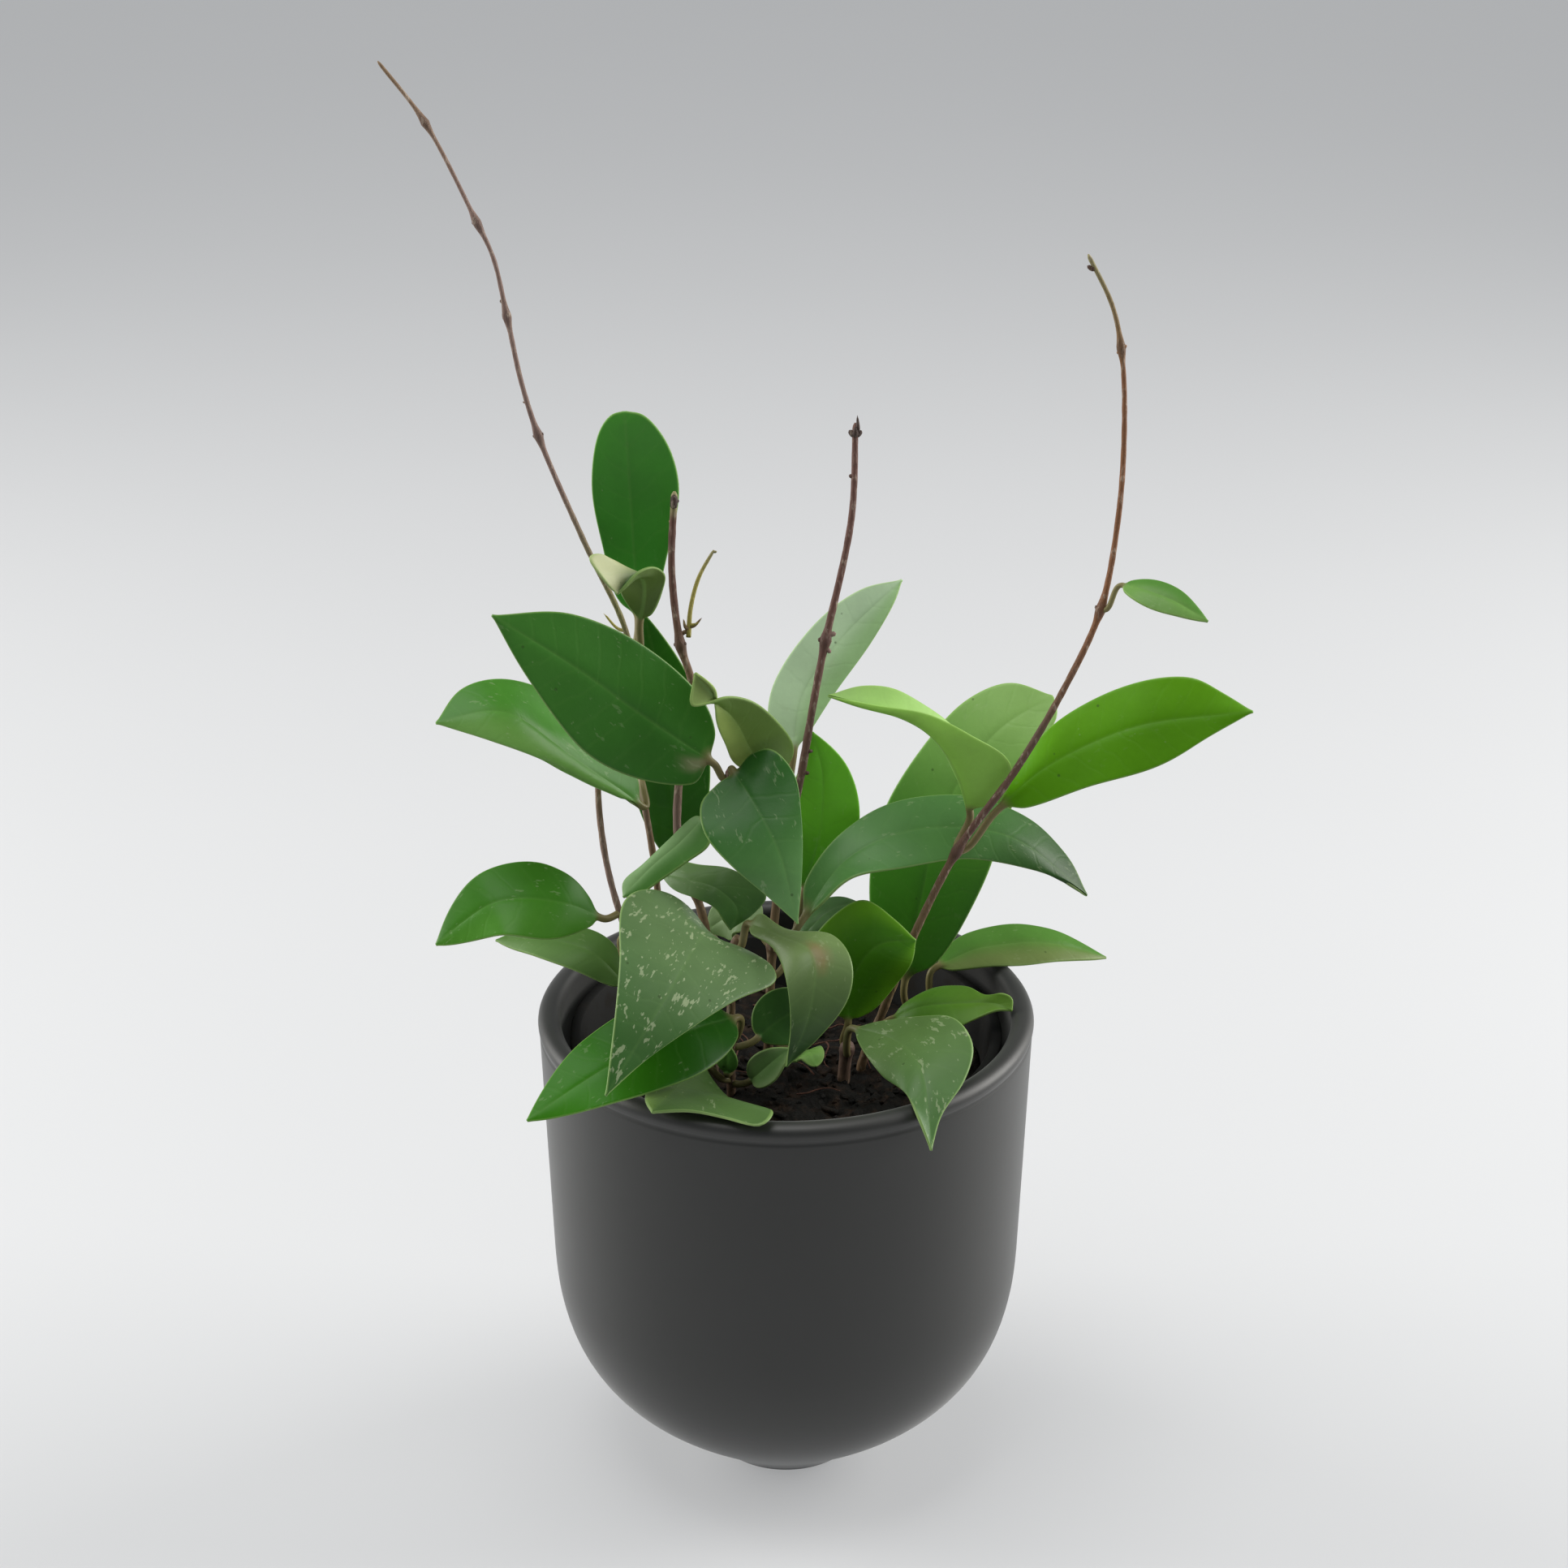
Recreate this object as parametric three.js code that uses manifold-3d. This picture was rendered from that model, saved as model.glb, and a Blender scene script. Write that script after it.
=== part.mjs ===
// A potted hoya: a round-bottomed ceramic cover pot, a thin nursery pot with soil inside it,
// and a climbing plant of wiry stems and thick leaves, each leaf a solid of its own.
// Millimetres, +Z up. The origin is the centre of the pot's flat foot, and -Y is the front.

import * as THREE from 'three';
import { mergeVertices } from 'three/addons/utils/BufferGeometryUtils.js';
import Module from 'manifold-3d';

// Ceramic cover pot
const POT_HEIGHT = 140;
const LIP_RADIUS = 65; // centre circle of the round lip
const LIP_HALF_WIDTH = 3.2;
const LIP_HALF_HEIGHT = 2.6;
const WALL_TOP_RADIUS = 67.7; // just below the lip
const SHOULDER_RADIUS = 65.6;
const SHOULDER_HEIGHT = 66;
const FOOT_RADIUS = 23.5; // where the foot's bevel ends and the bowl begins
const FOOT_HEIGHT = 2.5;
const FOOT_ROUND = 0.8; // radius of the edge round the flat foot
const GROOVE_DEPTH = 0.35; // the faint groove that parts lip and wall
const BOWL_WALL_HANDLE = 39; // how far the wall's direction carries into the bowl curve
const BOWL_FOOT_HANDLE = 27.8;
const BOWL_FOOT_ANGLE = THREE.MathUtils.degToRad(43);
const BOWL_POINTS = 8;
const FOOT_STEPS = 2; // of the round from the flat foot into the bevel
const LIP_POINTS = 6;
const LIP_START_ANGLE = -Math.PI / 9; // where the lip's round leaves the groove
const POT_WALL = 5.4;
const POT_SIDES = 40;

// Nursery pot
const NURSERY_RIM_RADIUS = 59.5;
const NURSERY_RIM_HEIGHT = 133;
const NURSERY_RIM_DEPTH = 4;
const NURSERY_BASE_HEIGHT = 25;
const NURSERY_WALL = 1.4;
const NURSERY_LIP = 1.6;
const NURSERY_SIDES = 36;

// Soil
const SOIL_LEVEL = 119;
const SOIL_SIDES = 36;
const SOIL_RING_SHARES = [1, 0.82, 0.62, 0.42, 0.2, 0.02]; // of the radius, from the rim inwards
const SOIL_BOTTOM_HUB = 0.5;
const SOIL_LUMP = 1.3;
const SOIL_BROAD_LUMP = 0.8;
const SOIL_WAVE = 0.29; // radians of the small lumps in a millimetre
const SOIL_BROAD_WAVE = 0.16;

// Fit between neighbouring solids
const SEAT_GAP = 0.3;
const HOLE_GAP = 0.45;

// Stems
const STEM_SIDES = 6;
const STEM_STEP = 8; // length between two rings
const ROOT_DEPTH = 14; // how far a stem stands in the soil
const ROOT_END = SOIL_LEVEL - ROOT_DEPTH;
const COLLAR = SOIL_LEVEL + 2; // height where a stem is clear of the soil's lumps
const HOLE_TOP = 10; // how far above the soil's level the cut for a hole reaches
const HOLE_RINGS = 5;
const NODE_SWELL = 0.5; // extra radius where leaves grow
const NODE_LENGTH = 2.6;
const LEAST_RING_SHARE = 0.7; // of a node's length between a node's ring and the next even one

// Leaves
const LEAF_MID_THICKNESS = 1.6;
const LEAF_EDGE_THICKNESS = 0.8;
const STALK_RINGS = 3;
const STALK_ANGLE = THREE.MathUtils.degToRad(36); // between two points of the stalk's section
const BLADE_RINGS = 10;
const BLADE_SHARES = [-1, -0.55, 0, 0.55, 1]; // across the blade, from margin to margin
const BLADE_START = 0.3; // how flat the section is where the stalk turns into the blade
const TIP_HALF_WIDTH = 0.5;
const WAVE_HEIGHT = 0.04; // ripple of the margins as a share of the half width
const WAVE_ANGLE = 9; // radians of ripple from base to tip
const WAVE_OFFSET = 2; // between the ripples of the two margins
const OVAL_STEPS = 16; // points along each margin of a plain blade
const NEAREST_END = 0.04; // share of the length from which an end takes its direction
const USUAL_LEAF = { lift: -0.02, widest: 0.42, ends: [0.6, 0.85], stalk: 1 };

const vec = (p) => new THREE.Vector3(...p);

/** The unit vector of `direction` with its share along `tangent` taken away. */
function acrossOf(direction, tangent) {
  return direction.clone().addScaledVector(tangent, -direction.dot(tangent)).normalize();
}

/**
 * A closed skin over rings of equal count. Spans with an index of `mirrorFrom` or more are split
 * along the other diagonal, so that a thin blade is split alike on its two faces.
 * With `stripCaps` the end rings are closed by strips between their two halves, else by a fan.
 */
function skin(rings, mirrorFrom, stripCaps) {
  const count = rings[0].length;
  const positions = [];
  for (const ring of rings) {
    for (const p of ring) {
      positions.push(p.x, p.y, p.z);
    }
  }
  const index = [];
  for (let i = 0; i + 1 < rings.length; i += 1) {
    for (let j = 0; j < count; j += 1) {
      const a = i * count + j;
      const b = i * count + ((j + 1) % count);
      const c = b + count;
      const d = a + count;
      if (j < mirrorFrom) {
        index.push(a, b, c, a, c, d);
      } else {
        index.push(a, b, d, b, c, d);
      }
    }
  }
  const last = (rings.length - 1) * count;
  if (stripCaps) {
    const half = count / 2;
    for (let j = 0; j + 1 < half; j += 1) {
      const under = count - 1 - j;
      index.push(j, under, under - 1, j, under - 1, j + 1);
      index.push(last + j, last + under - 1, last + under, last + j, last + j + 1, last + under - 1);
    }
  } else {
    for (let j = 1; j + 1 < count; j += 1) {
      index.push(0, j + 1, j);
      index.push(last, last + j, last + j + 1);
    }
  }
  const geometry = new THREE.BufferGeometry();
  geometry.setAttribute('position', new THREE.Float32BufferAttribute(positions, 3));
  geometry.setIndex(index);
  return geometry;
}

// Pot and nursery pot

/** Points of the pot's outer wall from the foot's edge up to the groove. */
function wallPoints() {
  const foot = new THREE.Vector2(FOOT_RADIUS, FOOT_HEIGHT);
  const shoulder = new THREE.Vector2(SHOULDER_RADIUS, SHOULDER_HEIGHT);
  const top = new THREE.Vector2(WALL_TOP_RADIUS, POT_HEIGHT - 2 * LIP_HALF_HEIGHT);
  const down = shoulder.clone().sub(top).normalize();
  const footHandle = new THREE.Vector2(Math.cos(BOWL_FOOT_ANGLE), Math.sin(BOWL_FOOT_ANGLE));
  const bowl = new THREE.CubicBezierCurve(
    foot,
    foot.clone().addScaledVector(footHandle, BOWL_FOOT_HANDLE),
    shoulder.clone().addScaledVector(down, BOWL_WALL_HANDLE),
    shoulder,
  );
  return [...bowl.getPoints(BOWL_POINTS), top];
}

/** The same wall moved inwards by the pot's thickness, from the floor's edge up. */
function innerWallPoints(outer) {
  return outer.map((p, i) => {
    const before = outer[Math.max(i - 1, 0)];
    const after = outer[Math.min(i + 1, outer.length - 1)];
    const along = after.clone().sub(before).normalize();
    return new THREE.Vector2(p.x - along.y * POT_WALL, p.y + along.x * POT_WALL);
  });
}

/** The radius of a profile at a height, between its two nearest points. */
function radiusAt(profile, height) {
  const k = profile.findIndex((p) => p.y > height);
  const t = (height - profile[k - 1].y) / (profile[k].y - profile[k - 1].y);
  return THREE.MathUtils.lerp(profile[k - 1].x, profile[k].x, t);
}

/** A round lip's points, from its outer underside over the top to its inner side. */
function lipPoints() {
  const points = [];
  for (let i = 0; i <= LIP_POINTS; i += 1) {
    const angle = THREE.MathUtils.lerp(LIP_START_ANGLE, Math.PI, i / LIP_POINTS);
    points.push(new THREE.Vector2(
      LIP_RADIUS + LIP_HALF_WIDTH * Math.cos(angle),
      POT_HEIGHT - LIP_HALF_HEIGHT + LIP_HALF_HEIGHT * Math.sin(angle),
    ));
  }
  return points;
}

/** The round between the flat foot and its bevel, which runs on into the bowl. */
function footPoints() {
  const bevelHeight = FOOT_HEIGHT - FOOT_ROUND * (1 - Math.cos(BOWL_FOOT_ANGLE));
  const bevelWidth = bevelHeight / Math.tan(BOWL_FOOT_ANGLE);
  const flatRadius = FOOT_RADIUS - bevelWidth - FOOT_ROUND * Math.sin(BOWL_FOOT_ANGLE);
  return Array.from({ length: FOOT_STEPS + 1 }, (_, i) => {
    const angle = (BOWL_FOOT_ANGLE * i) / FOOT_STEPS;
    const rise = FOOT_ROUND * (1 - Math.cos(angle));
    return new THREE.Vector2(flatRadius + FOOT_ROUND * Math.sin(angle), rise);
  });
}

const outerWall = wallPoints();
const innerWall = innerWallPoints(outerWall);

function potGeometry() {
  const grooveTop = lipPoints()[0];
  const wallTop = outerWall[outerWall.length - 1];
  const groove = wallTop.clone().lerp(grooveTop, 0.5);
  groove.x -= GROOVE_DEPTH;
  const floorHeight = innerWall[0].y;
  const profile = [
    new THREE.Vector2(0, 0),
    ...footPoints(),
    ...outerWall,
    groove,
    ...lipPoints(),
    ...innerWall.slice(1).reverse(),
    new THREE.Vector2(FOOT_RADIUS - POT_WALL, floorHeight),
    new THREE.Vector2(0, floorHeight),
  ];
  return new THREE.LatheGeometry(profile, POT_SIDES).rotateX(Math.PI / 2);
}

const nurseryBaseRadius = radiusAt(innerWall, NURSERY_BASE_HEIGHT) - SEAT_GAP;

/** The nursery pot's inner radius at a height: a straight taper. */
function nurseryRadius(height) {
  const t = (height - NURSERY_BASE_HEIGHT) / (NURSERY_RIM_HEIGHT - NURSERY_BASE_HEIGHT);
  return THREE.MathUtils.lerp(nurseryBaseRadius, NURSERY_RIM_RADIUS - NURSERY_LIP, t) - NURSERY_WALL;
}

function nurseryPotGeometry() {
  const rimBottom = NURSERY_RIM_HEIGHT - NURSERY_RIM_DEPTH;
  const profile = [
    [0, NURSERY_BASE_HEIGHT],
    [nurseryBaseRadius, NURSERY_BASE_HEIGHT],
    [nurseryRadius(rimBottom) + NURSERY_WALL, rimBottom],
    [NURSERY_RIM_RADIUS, rimBottom],
    [NURSERY_RIM_RADIUS, NURSERY_RIM_HEIGHT],
    [nurseryRadius(NURSERY_RIM_HEIGHT), NURSERY_RIM_HEIGHT],
    [nurseryRadius(NURSERY_BASE_HEIGHT), NURSERY_BASE_HEIGHT + NURSERY_WALL],
    [0, NURSERY_BASE_HEIGHT + NURSERY_WALL],
  ].map(([r, z]) => new THREE.Vector2(r, z));
  return new THREE.LatheGeometry(profile, NURSERY_SIDES).rotateX(Math.PI / 2);
}

// Stems

/**
 * Each stem climbs through its points. `radius` is at its foot and at its end, `nodes` are the
 * shares of its length where it swells and leaves grow, and `rooted` stems start in the soil.
 */
const STEMS = {
  cut_main: {
    points: [[-20, -3, ROOT_END], [-20, -2, COLLAR], [-22, 4, 161], [-29, 6, 186], [-29, 7, 201],
      [-25, 9, 230], [-28, 10, 242], [-30, 12, 262], [-29, 13, 283]],
    radius: [1.35, 0.9], nodes: [0.38, 0.77], rooted: true, colour: 0x5a4438,
  },
  left_tendril: {
    points: [[-26, 4, ROOT_END], [-27, 4, COLLAR], [-33, 8, 150], [-36, 8, 180], [-39, 7, 205],
      [-40, 7, 230], [-42, 4, 248], [-52, 0, 274], [-62, -4, 302], [-66, -5, 317], [-69, -4, 333],
      [-72, -3, 348], [-76, -2, 357], [-88, 3, 380], [-99, 6, 394]],
    radius: [1.1, 0.45], nodes: [0.45, 0.67, 0.773, 0.852, 0.94], rooted: true, colour: 0x5d4030,
  },
  young_shoot: {
    points: [[-25.8, 10.8, 243.5], [-25.2, 12, 251], [-23, 14, 259], [-19, 16, 266]],
    radius: [0.7, 0.45], nodes: [], colour: 0x7d8a3c,
  },
  far_left: {
    points: [[-22, -9, ROOT_END], [-24, -9, COLLAR], [-37, -10, 151], [-44, -10, 171], [-48, -6, 186],
      [-50, 0, 200], [-50, 3, 209], [-49, 6, 217]],
    radius: [1.1, 0.8], nodes: [0.55, 0.93], rooted: true, colour: 0x54402f,
  },
  middle: {
    points: [[-5, -2, ROOT_END], [-5, -2, COLLAR], [-3, -2, 168], [1, -2, 194], [4, -1, 209],
      [7, 2, 227], [10, 5, 243], [17, 12, 276], [18, 18, 300]],
    radius: [1.4, 0.8], nodes: [0.27, 0.46, 0.71], rooted: true, colour: 0x5c4a36,
  },
  inner_branch: {
    points: [[-4, -3.3, 176.5], [-8, -7, 185], [-11, -9.5, 201], [-15, -11, 215]],
    radius: [1.1, 1.1], nodes: [0.93], colour: 0x5c4a36,
  },
  right_tendril: {
    points: [[20, 0, ROOT_END], [21, 0, COLLAR], [27, -2, 140], [35, -4, 164], [46, -8, 191],
      [60, -10, 214], [72, -8, 236], [81, -5, 257], [85, 0, 280], [86, 4, 300], [85, 6, 319],
      [82, 6, 333], [75, 5, 347]],
    radius: [1.3, 0.55], nodes: [0.345, 0.64, 0.9], rooted: true, colour: 0x7a4a30,
  },
  front_short: {
    points: [[-15, -13, ROOT_END], [-15, -13, COLLAR], [-15, -13, 141], [-14, -14, 160], [-13, -14, 168]],
    radius: [1.3, 1.1], nodes: [0.5, 0.95], rooted: true, colour: 0x5c4636,
  },
  right_short: {
    points: [[16, -5, ROOT_END], [16, -5, COLLAR], [17, -7, 132]],
    radius: [1.8, 1.6], nodes: [0.9], rooted: true, colour: 0x6a5444,
  },
  back_short: {
    points: [[38, 17, ROOT_END], [38, 17, COLLAR], [38, 18, 131]],
    radius: [1.8, 1.6], nodes: [0.9], rooted: true, colour: 0x5c4636,
  },
};

/** A stem's radius at a share of its length, with the swelling of its nodes. */
function stemRadius(stem, curve, t) {
  const length = curve.getLength();
  let radius = THREE.MathUtils.lerp(stem.radius[0], stem.radius[1], t);
  for (const node of stem.nodes) {
    const away = ((t - node) * length) / NODE_LENGTH;
    radius += NODE_SWELL * Math.exp(-away * away);
  }
  return radius;
}

/** Rings of `sides` points round a stem's curve, `grow` wider than the stem. */
function stemRings(stem, curve, shares, sides, grow) {
  const rings = [];
  let side = new THREE.Vector3(1, 0, 0);
  for (const t of shares) {
    const centre = curve.getPointAt(t);
    const tangent = curve.getTangentAt(t);
    side = acrossOf(side, tangent);
    const other = new THREE.Vector3().crossVectors(tangent, side);
    const radius = stemRadius(stem, curve, t) + grow;
    rings.push(Array.from({ length: sides }, (_, j) => {
      const angle = (j / sides) * Math.PI * 2;
      return centre.clone()
        .addScaledVector(side, radius * Math.cos(angle))
        .addScaledVector(other, radius * Math.sin(angle));
    }));
  }
  return rings;
}

/** Shares of the length with a ring: even steps, and three rings at each node. */
function stemShares(stem, length) {
  const steps = Math.max(2, Math.round(length / STEM_STEP));
  const swell = NODE_LENGTH / length;
  const atNodes = stem.nodes.flatMap((n) => [n - swell, n, n + swell]).filter((t) => t > 0 && t < 1);
  const even = Array.from({ length: steps + 1 }, (_, i) => i / steps);
  const isClear = (t) => atNodes.every((n) => Math.abs(n - t) > swell * LEAST_RING_SHARE);
  const kept = even.filter((t) => t === 0 || t === 1 || isClear(t));
  return [...kept, ...atNodes].sort((a, b) => a - b);
}

const stemCurves = Object.fromEntries(Object.entries(STEMS).map(([name, stem]) => (
  [name, new THREE.CatmullRomCurve3(stem.points.map(vec), false, 'centripetal')]
)));

function stemGeometry(name) {
  const curve = stemCurves[name];
  const shares = stemShares(STEMS[name], curve.getLength());
  return skin(stemRings(STEMS[name], curve, shares, STEM_SIDES, 0), STEM_SIDES, false);
}

// Leaves

/**
 * `on` is the stem, and `node` which of its swellings the leaf grows from, or `at` a share of the
 * stem's length. `vein` are points on the middle vein from the blade's base to its tip. A lobed,
 * bent or folded blade has points of its own on the `left` and the `right` margin, seen on the
 * upper side with the tip ahead. A plain one has its greatest `width` and, at `face`, where its
 * upper side looks, at the base and, where it turns, at the tip. `lift` raises its margins,
 * `widest` is the share of the length where it is widest, and `ends` are the exponents of its
 * outline towards base and tip: small ones are blunt. `stalk` is the radius of its stalk.
 */
const LEAVES = {
  tall_left: {
    on: 'left_tendril', node: 0, colour: 0x5d8a4c,
    vein: [[-39, 11, 248], [-40, 17, 262], [-41, 21, 280], [-42, 22, 302]],
    left: [[-45, 14, 254], [-48, 17, 265], [-51, 20, 282], [-49, 22, 296], [-45.5, 22, 301]],
    right: [[-35, 15, 252], [-31, 19, 265], [-28, 22, 281], [-31, 23, 293], [-37, 22, 301]],
  },
  curled_left: {
    on: 'left_tendril', node: 0, colour: 0x5b7f45,
    vein: [[-38, 0, 252], [-37, -1, 258], [-37, -5, 266], [-40, -9, 267], [-43, -13, 264]],
    left: [[-35, -1, 254], [-32, -2, 261], [-31, -4, 266], [-34, -7, 269], [-38, -11, 269],
      [-41, -13, 266]],
    right: [[-41, -2, 257], [-43, -7, 264], [-44, -8, 271], [-47, -10, 274], [-50, -13, 274],
      [-46, -15, 268]],
  },
  big_left: {
    on: 'inner_branch', node: 0, colour: 0x3f7d2c,
    vein: [[-19, -12, 217], [-35, -15, 230], [-54, -20, 247], [-74, -23, 262]],
    left: [[-22, -15, 213], [-35, -20, 215], [-51, -25, 225], [-65, -25, 245]],
    right: [[-18, -10, 221], [-21, -8, 232], [-35, -10, 248], [-55, -16, 260]],
  },
  far_left_upper: {
    on: 'left_tendril', at: 0.33, colour: 0x3b7a2a,
    vein: [[-38, 0, 199], [-57, -9, 218], [-73, -14, 232], [-90, -19, 231]],
    left: [[-43, -3, 203], [-57, -11, 214], [-72, -20, 225]],
    right: [[-40, 3, 207], [-58, 6, 227], [-73, -3, 237], [-84, -10, 237]],
  },
  behind_left: {
    on: 'cut_main', node: 0, colour: 0x3f7d2c,
    vein: [[-29, 14, 175], [-31, 16, 196], [-33, 19, 223], [-38, 22, 246]],
    width: 22, face: [[0, -1, 0.2]],
  },
  arched_centre: {
    on: 'middle', node: 1, colour: 0x5f8a50,
    vein: [[0, -7, 211], [-8, -11, 219], [-13, -19, 232], [-18, -25, 240], [-23, -27, 248]],
    left: [[-12, -8, 214], [-16, -17, 225], [-18, -23, 234], [-18, -27, 243], [-21, -28, 247]],
    right: [[2, -5, 218], [-2, -13, 229], [-9, -21, 238], [-16, -25, 241], [-21, -29, 240],
      [-24, -30, 240]],
  },
  upright_centre: {
    on: 'middle', node: 1, colour: 0x628b55,
    vein: [[2, 6, 212], [4, 11, 226], [14, 17, 240], [31, 24, 255]],
    left: [[-4, 8, 217], [-4, 12, 228], [7, 18, 244], [20, 22, 253]],
    right: [[6, 8, 217], [13, 12, 227], [23, 17, 240], [29, 21, 250]],
  },
  heart_centre: {
    on: 'inner_branch', node: 0, colour: 0x2f6a2f,
    vein: [[-14, -16, 217], [-9, -24, 212], [-2, -34, 202], [3, -40, 184]],
    left: [[-9, -15, 221], [-4, -16, 223], [2, -20, 218], [4, -28, 208], [4, -36, 196]],
    right: [[-18, -20, 214], [-22, -25, 211], [-21, -32, 206], [-14, -37, 199], [-5, -38, 191]],
  },
  behind_heart: {
    on: 'middle', at: 0.22, colour: 0x4f9a2c,
    vein: [[5, 7, 171], [9, 9, 187], [10, 11, 203], [7, 12, 216]],
    width: 21, face: [[0, -1, 0.2]],
  },
  long_right: {
    on: 'middle', node: 0, colour: 0x4b7f45,
    vein: [[4, -12, 171], [17, -4, 186], [36, 3, 191], [60, 7, 187], [82, 4, 171]],
    left: [[4, -8, 178], [13, 0, 190], [28, 10, 196], [48, 17, 195], [66, 18, 188], [77, 13, 179]],
    right: [[8, -13, 175], [17, -11, 183], [31, -8, 185], [48, -2, 185], [65, 2, 180], [76, 4, 175]],
  },
  tall_right: {
    on: 'back_short', node: 0, colour: 0x35762a,
    vein: [[33, 13, 139], [37, 17, 161], [44, 26, 187], [58, 33, 207], [74, 38, 216]],
    left: [[26, 16, 149], [23, 22, 166], [27, 29, 185], [39, 36, 203], [50, 40, 214], [62, 41, 219]],
    right: [[43, 12, 148], [54, 15, 168], [61, 22, 186], [69, 28, 203], [75, 34, 212]],
  },
  folded_right: {
    on: 'right_tendril', node: 0, colour: 0x6f9a3a,
    vein: [[49, -3, 199], [46, -5, 210], [40, -5, 221], [31, -2, 226], [11, 3, 230]],
    left: [[55, -5, 202], [60, -6, 210], [58, -8, 217], [48, -9, 224], [37, -6, 228], [25, -2, 229]],
    right: [[51, 3, 203], [50, 5, 211], [44, 5, 221], [36, 6, 227], [28, 6, 231], [20, 5, 232]],
  },
  bright_right: {
    on: 'right_tendril', node: 0, colour: 0x4c9a2c,
    vein: [[56, -6, 201], [69, -5, 213], [92, -4, 224], [122, -6, 229]],
    left: [[59, -2, 208], [71, 1, 223], [90, 3, 233], [106, 1, 236], [114, -2, 233]],
    right: [[64, -9, 203], [80, -11, 210], [98, -11, 216], [111, -8, 223]],
  },
  small_tendril: {
    on: 'right_tendril', node: 1, colour: 0x4b8f30,
    vein: [[86, -6, 264], [91, -10, 264], [99, -14, 262], [107, -17, 258]],
    width: 9, face: [[0, -0.6, 0.8]], stalk: 0.7,
  },
  rim_right: {
    on: 'back_short', node: 0, colour: 0x3b7a2f,
    vein: [[42, 22, 140], [56, 28, 143], [74, 33, 142], [92, 36, 136]],
    width: 17, face: [[0, -0.3, 1]],
  },
  curled_tip_right: {
    on: 'right_tendril', at: 0.1, colour: 0x55a52e,
    vein: [[29, 4, 133], [38, 2, 138], [49, 0, 140], [58, -2, 141], [62, -4, 140]],
    left: [[33, 6, 137], [42, 8, 141], [50, 6, 142], [55, 1, 142], [59, -1, 144], [62, -2, 143]],
    right: [[35, -3, 133], [44, -6, 135], [52, -5, 138], [58, -4, 140]],
  },
  front_right: {
    on: 'right_short', node: 0, colour: 0x5d8a4c,
    vein: [[18, -14, 140], [28, -28, 144], [35, -48, 146], [37, -67, 133]],
    left: [[23, -17, 143], [34, -24, 149], [44, -30, 152], [49, -41, 149], [46, -51, 144], [40, -59, 139]],
    right: [[20, -25, 140], [25, -40, 140], [31, -55, 142.5], [34, -62, 139]],
  },
  broad_front: {
    on: 'right_short', node: 0, colour: 0x4f9a2c,
    vein: [[17, -7, 138], [18, -7, 151], [25, -9, 163], [35, -9, 164]],
    left: [[8, -7, 144], [6, -5, 159], [13, -5, 170], [21, -6, 175], [29, -8, 170]],
    right: [[24, -7, 142], [30, -8, 150], [34, -10, 158]],
  },
  bent_front: {
    on: 'front_short', node: 1, colour: 0x3f7040,
    vein: [[-10, -17, 173], [-2, -31, 176], [7, -42, 176], [6, -50, 164], [0, -52, 149]],
    left: [[-8, -16, 176], [0, -27, 176], [12, -34, 178], [17, -42, 174], [16, -47, 166], [8, -50, 156]],
    right: [[-9, -24, 173], [-3, -35, 174], [0, -46, 171], [1, -51, 162]],
  },
  speckled_front_left: {
    on: 'front_short', at: 0.75, colour: 0x5d8a4c,
    vein: [[-19, -20, 170], [-22, -34, 177], [-30, -58, 173], [-45, -76, 154]],
    left: [[-11, -27, 170], [-3, -34, 169], [-2, -39, 168], [-13, -52, 168], [-26, -64, 165],
      [-36, -70, 160]],
    right: [[-27, -14, 177], [-36, -20, 184], [-42, -35, 188], [-42, -54, 181], [-43, -66, 170]],
  },
  low_front_left: {
    on: 'front_short', node: 0, colour: 0x3f9422,
    vein: [[-13, -21, 147], [-27, -38, 151], [-47, -53, 148.5], [-66, -65, 140.5]],
    width: 25, face: [[0.3, -0.4, 0.86]],
  },
  low_front: {
    on: 'front_short', at: 0.3, colour: 0x5f8f4a,
    vein: [[-22, -20, 132], [-26, -34, 136], [-29, -50, 140.5], [-34, -65, 143]],
    left: [[-19, -24, 128], [-12, -42, 132], [-6, -57, 138.8], [-3, -65, 142.4], [-6, -71, 141.4],
      [-15, -66, 142], [-25, -64, 143]],
    right: [[-28, -26, 136], [-33, -44, 141], [-36, -58, 143]],
  },
  left_upper: {
    on: 'far_left', at: 0.6, colour: 0x46922a,
    vein: [[-49, -14, 173], [-60, -20, 180.5], [-76, -24, 182.5], [-92, -26, 171]],
    width: 23, face: [[0, -0.6, 0.8]], ends: [0.85, 0.85],
  },
  left_lower: {
    on: 'far_left', node: 0, colour: 0x4a8a30,
    vein: [[-43, -7, 149], [-53, -3, 157], [-66, 3, 158], [-80, 8, 155.5]],
    width: 15, face: [[0.1, -0.45, 0.9]],
  },
  drooping_left: {
    on: 'inner_branch', at: 0.4, colour: 0x6a9555,
    vein: [[-21, -10, 201], [-28, -12, 194], [-36, -15, 188], [-43, -18, 181]],
    left: [[-20, -16, 196], [-26, -17, 191], [-33, -18, 186], [-39, -19, 182]],
    right: [[-24, -8, 200], [-31, -10, 194], [-38, -13, 188], [-43, -15, 184]],
  },
  dark_inner: {
    on: 'cut_main', at: 0.43, colour: 0x3a5e34,
    vein: [[-34, -1, 180], [-26, -7, 181], [-18, -11, 180], [-13, -13, 175], [-15, -15, 170]],
    left: [[-31, 1, 183], [-23, -4, 184], [-14, -7, 184], [-5, -10, 178], [-8, -12, 174]],
    right: [[-30, -7, 178], [-24, -12, 178], [-19, -14, 176], [-17, -15, 173]],
  },
  seedling_left: {
    on: 'front_short', at: 0.34, colour: 0x5f9a44,
    vein: [[-16, -16.5, 127.5], [-16, -17.5, 131], [-16, -17.5, 134], [-16, -17, 137]],
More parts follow.
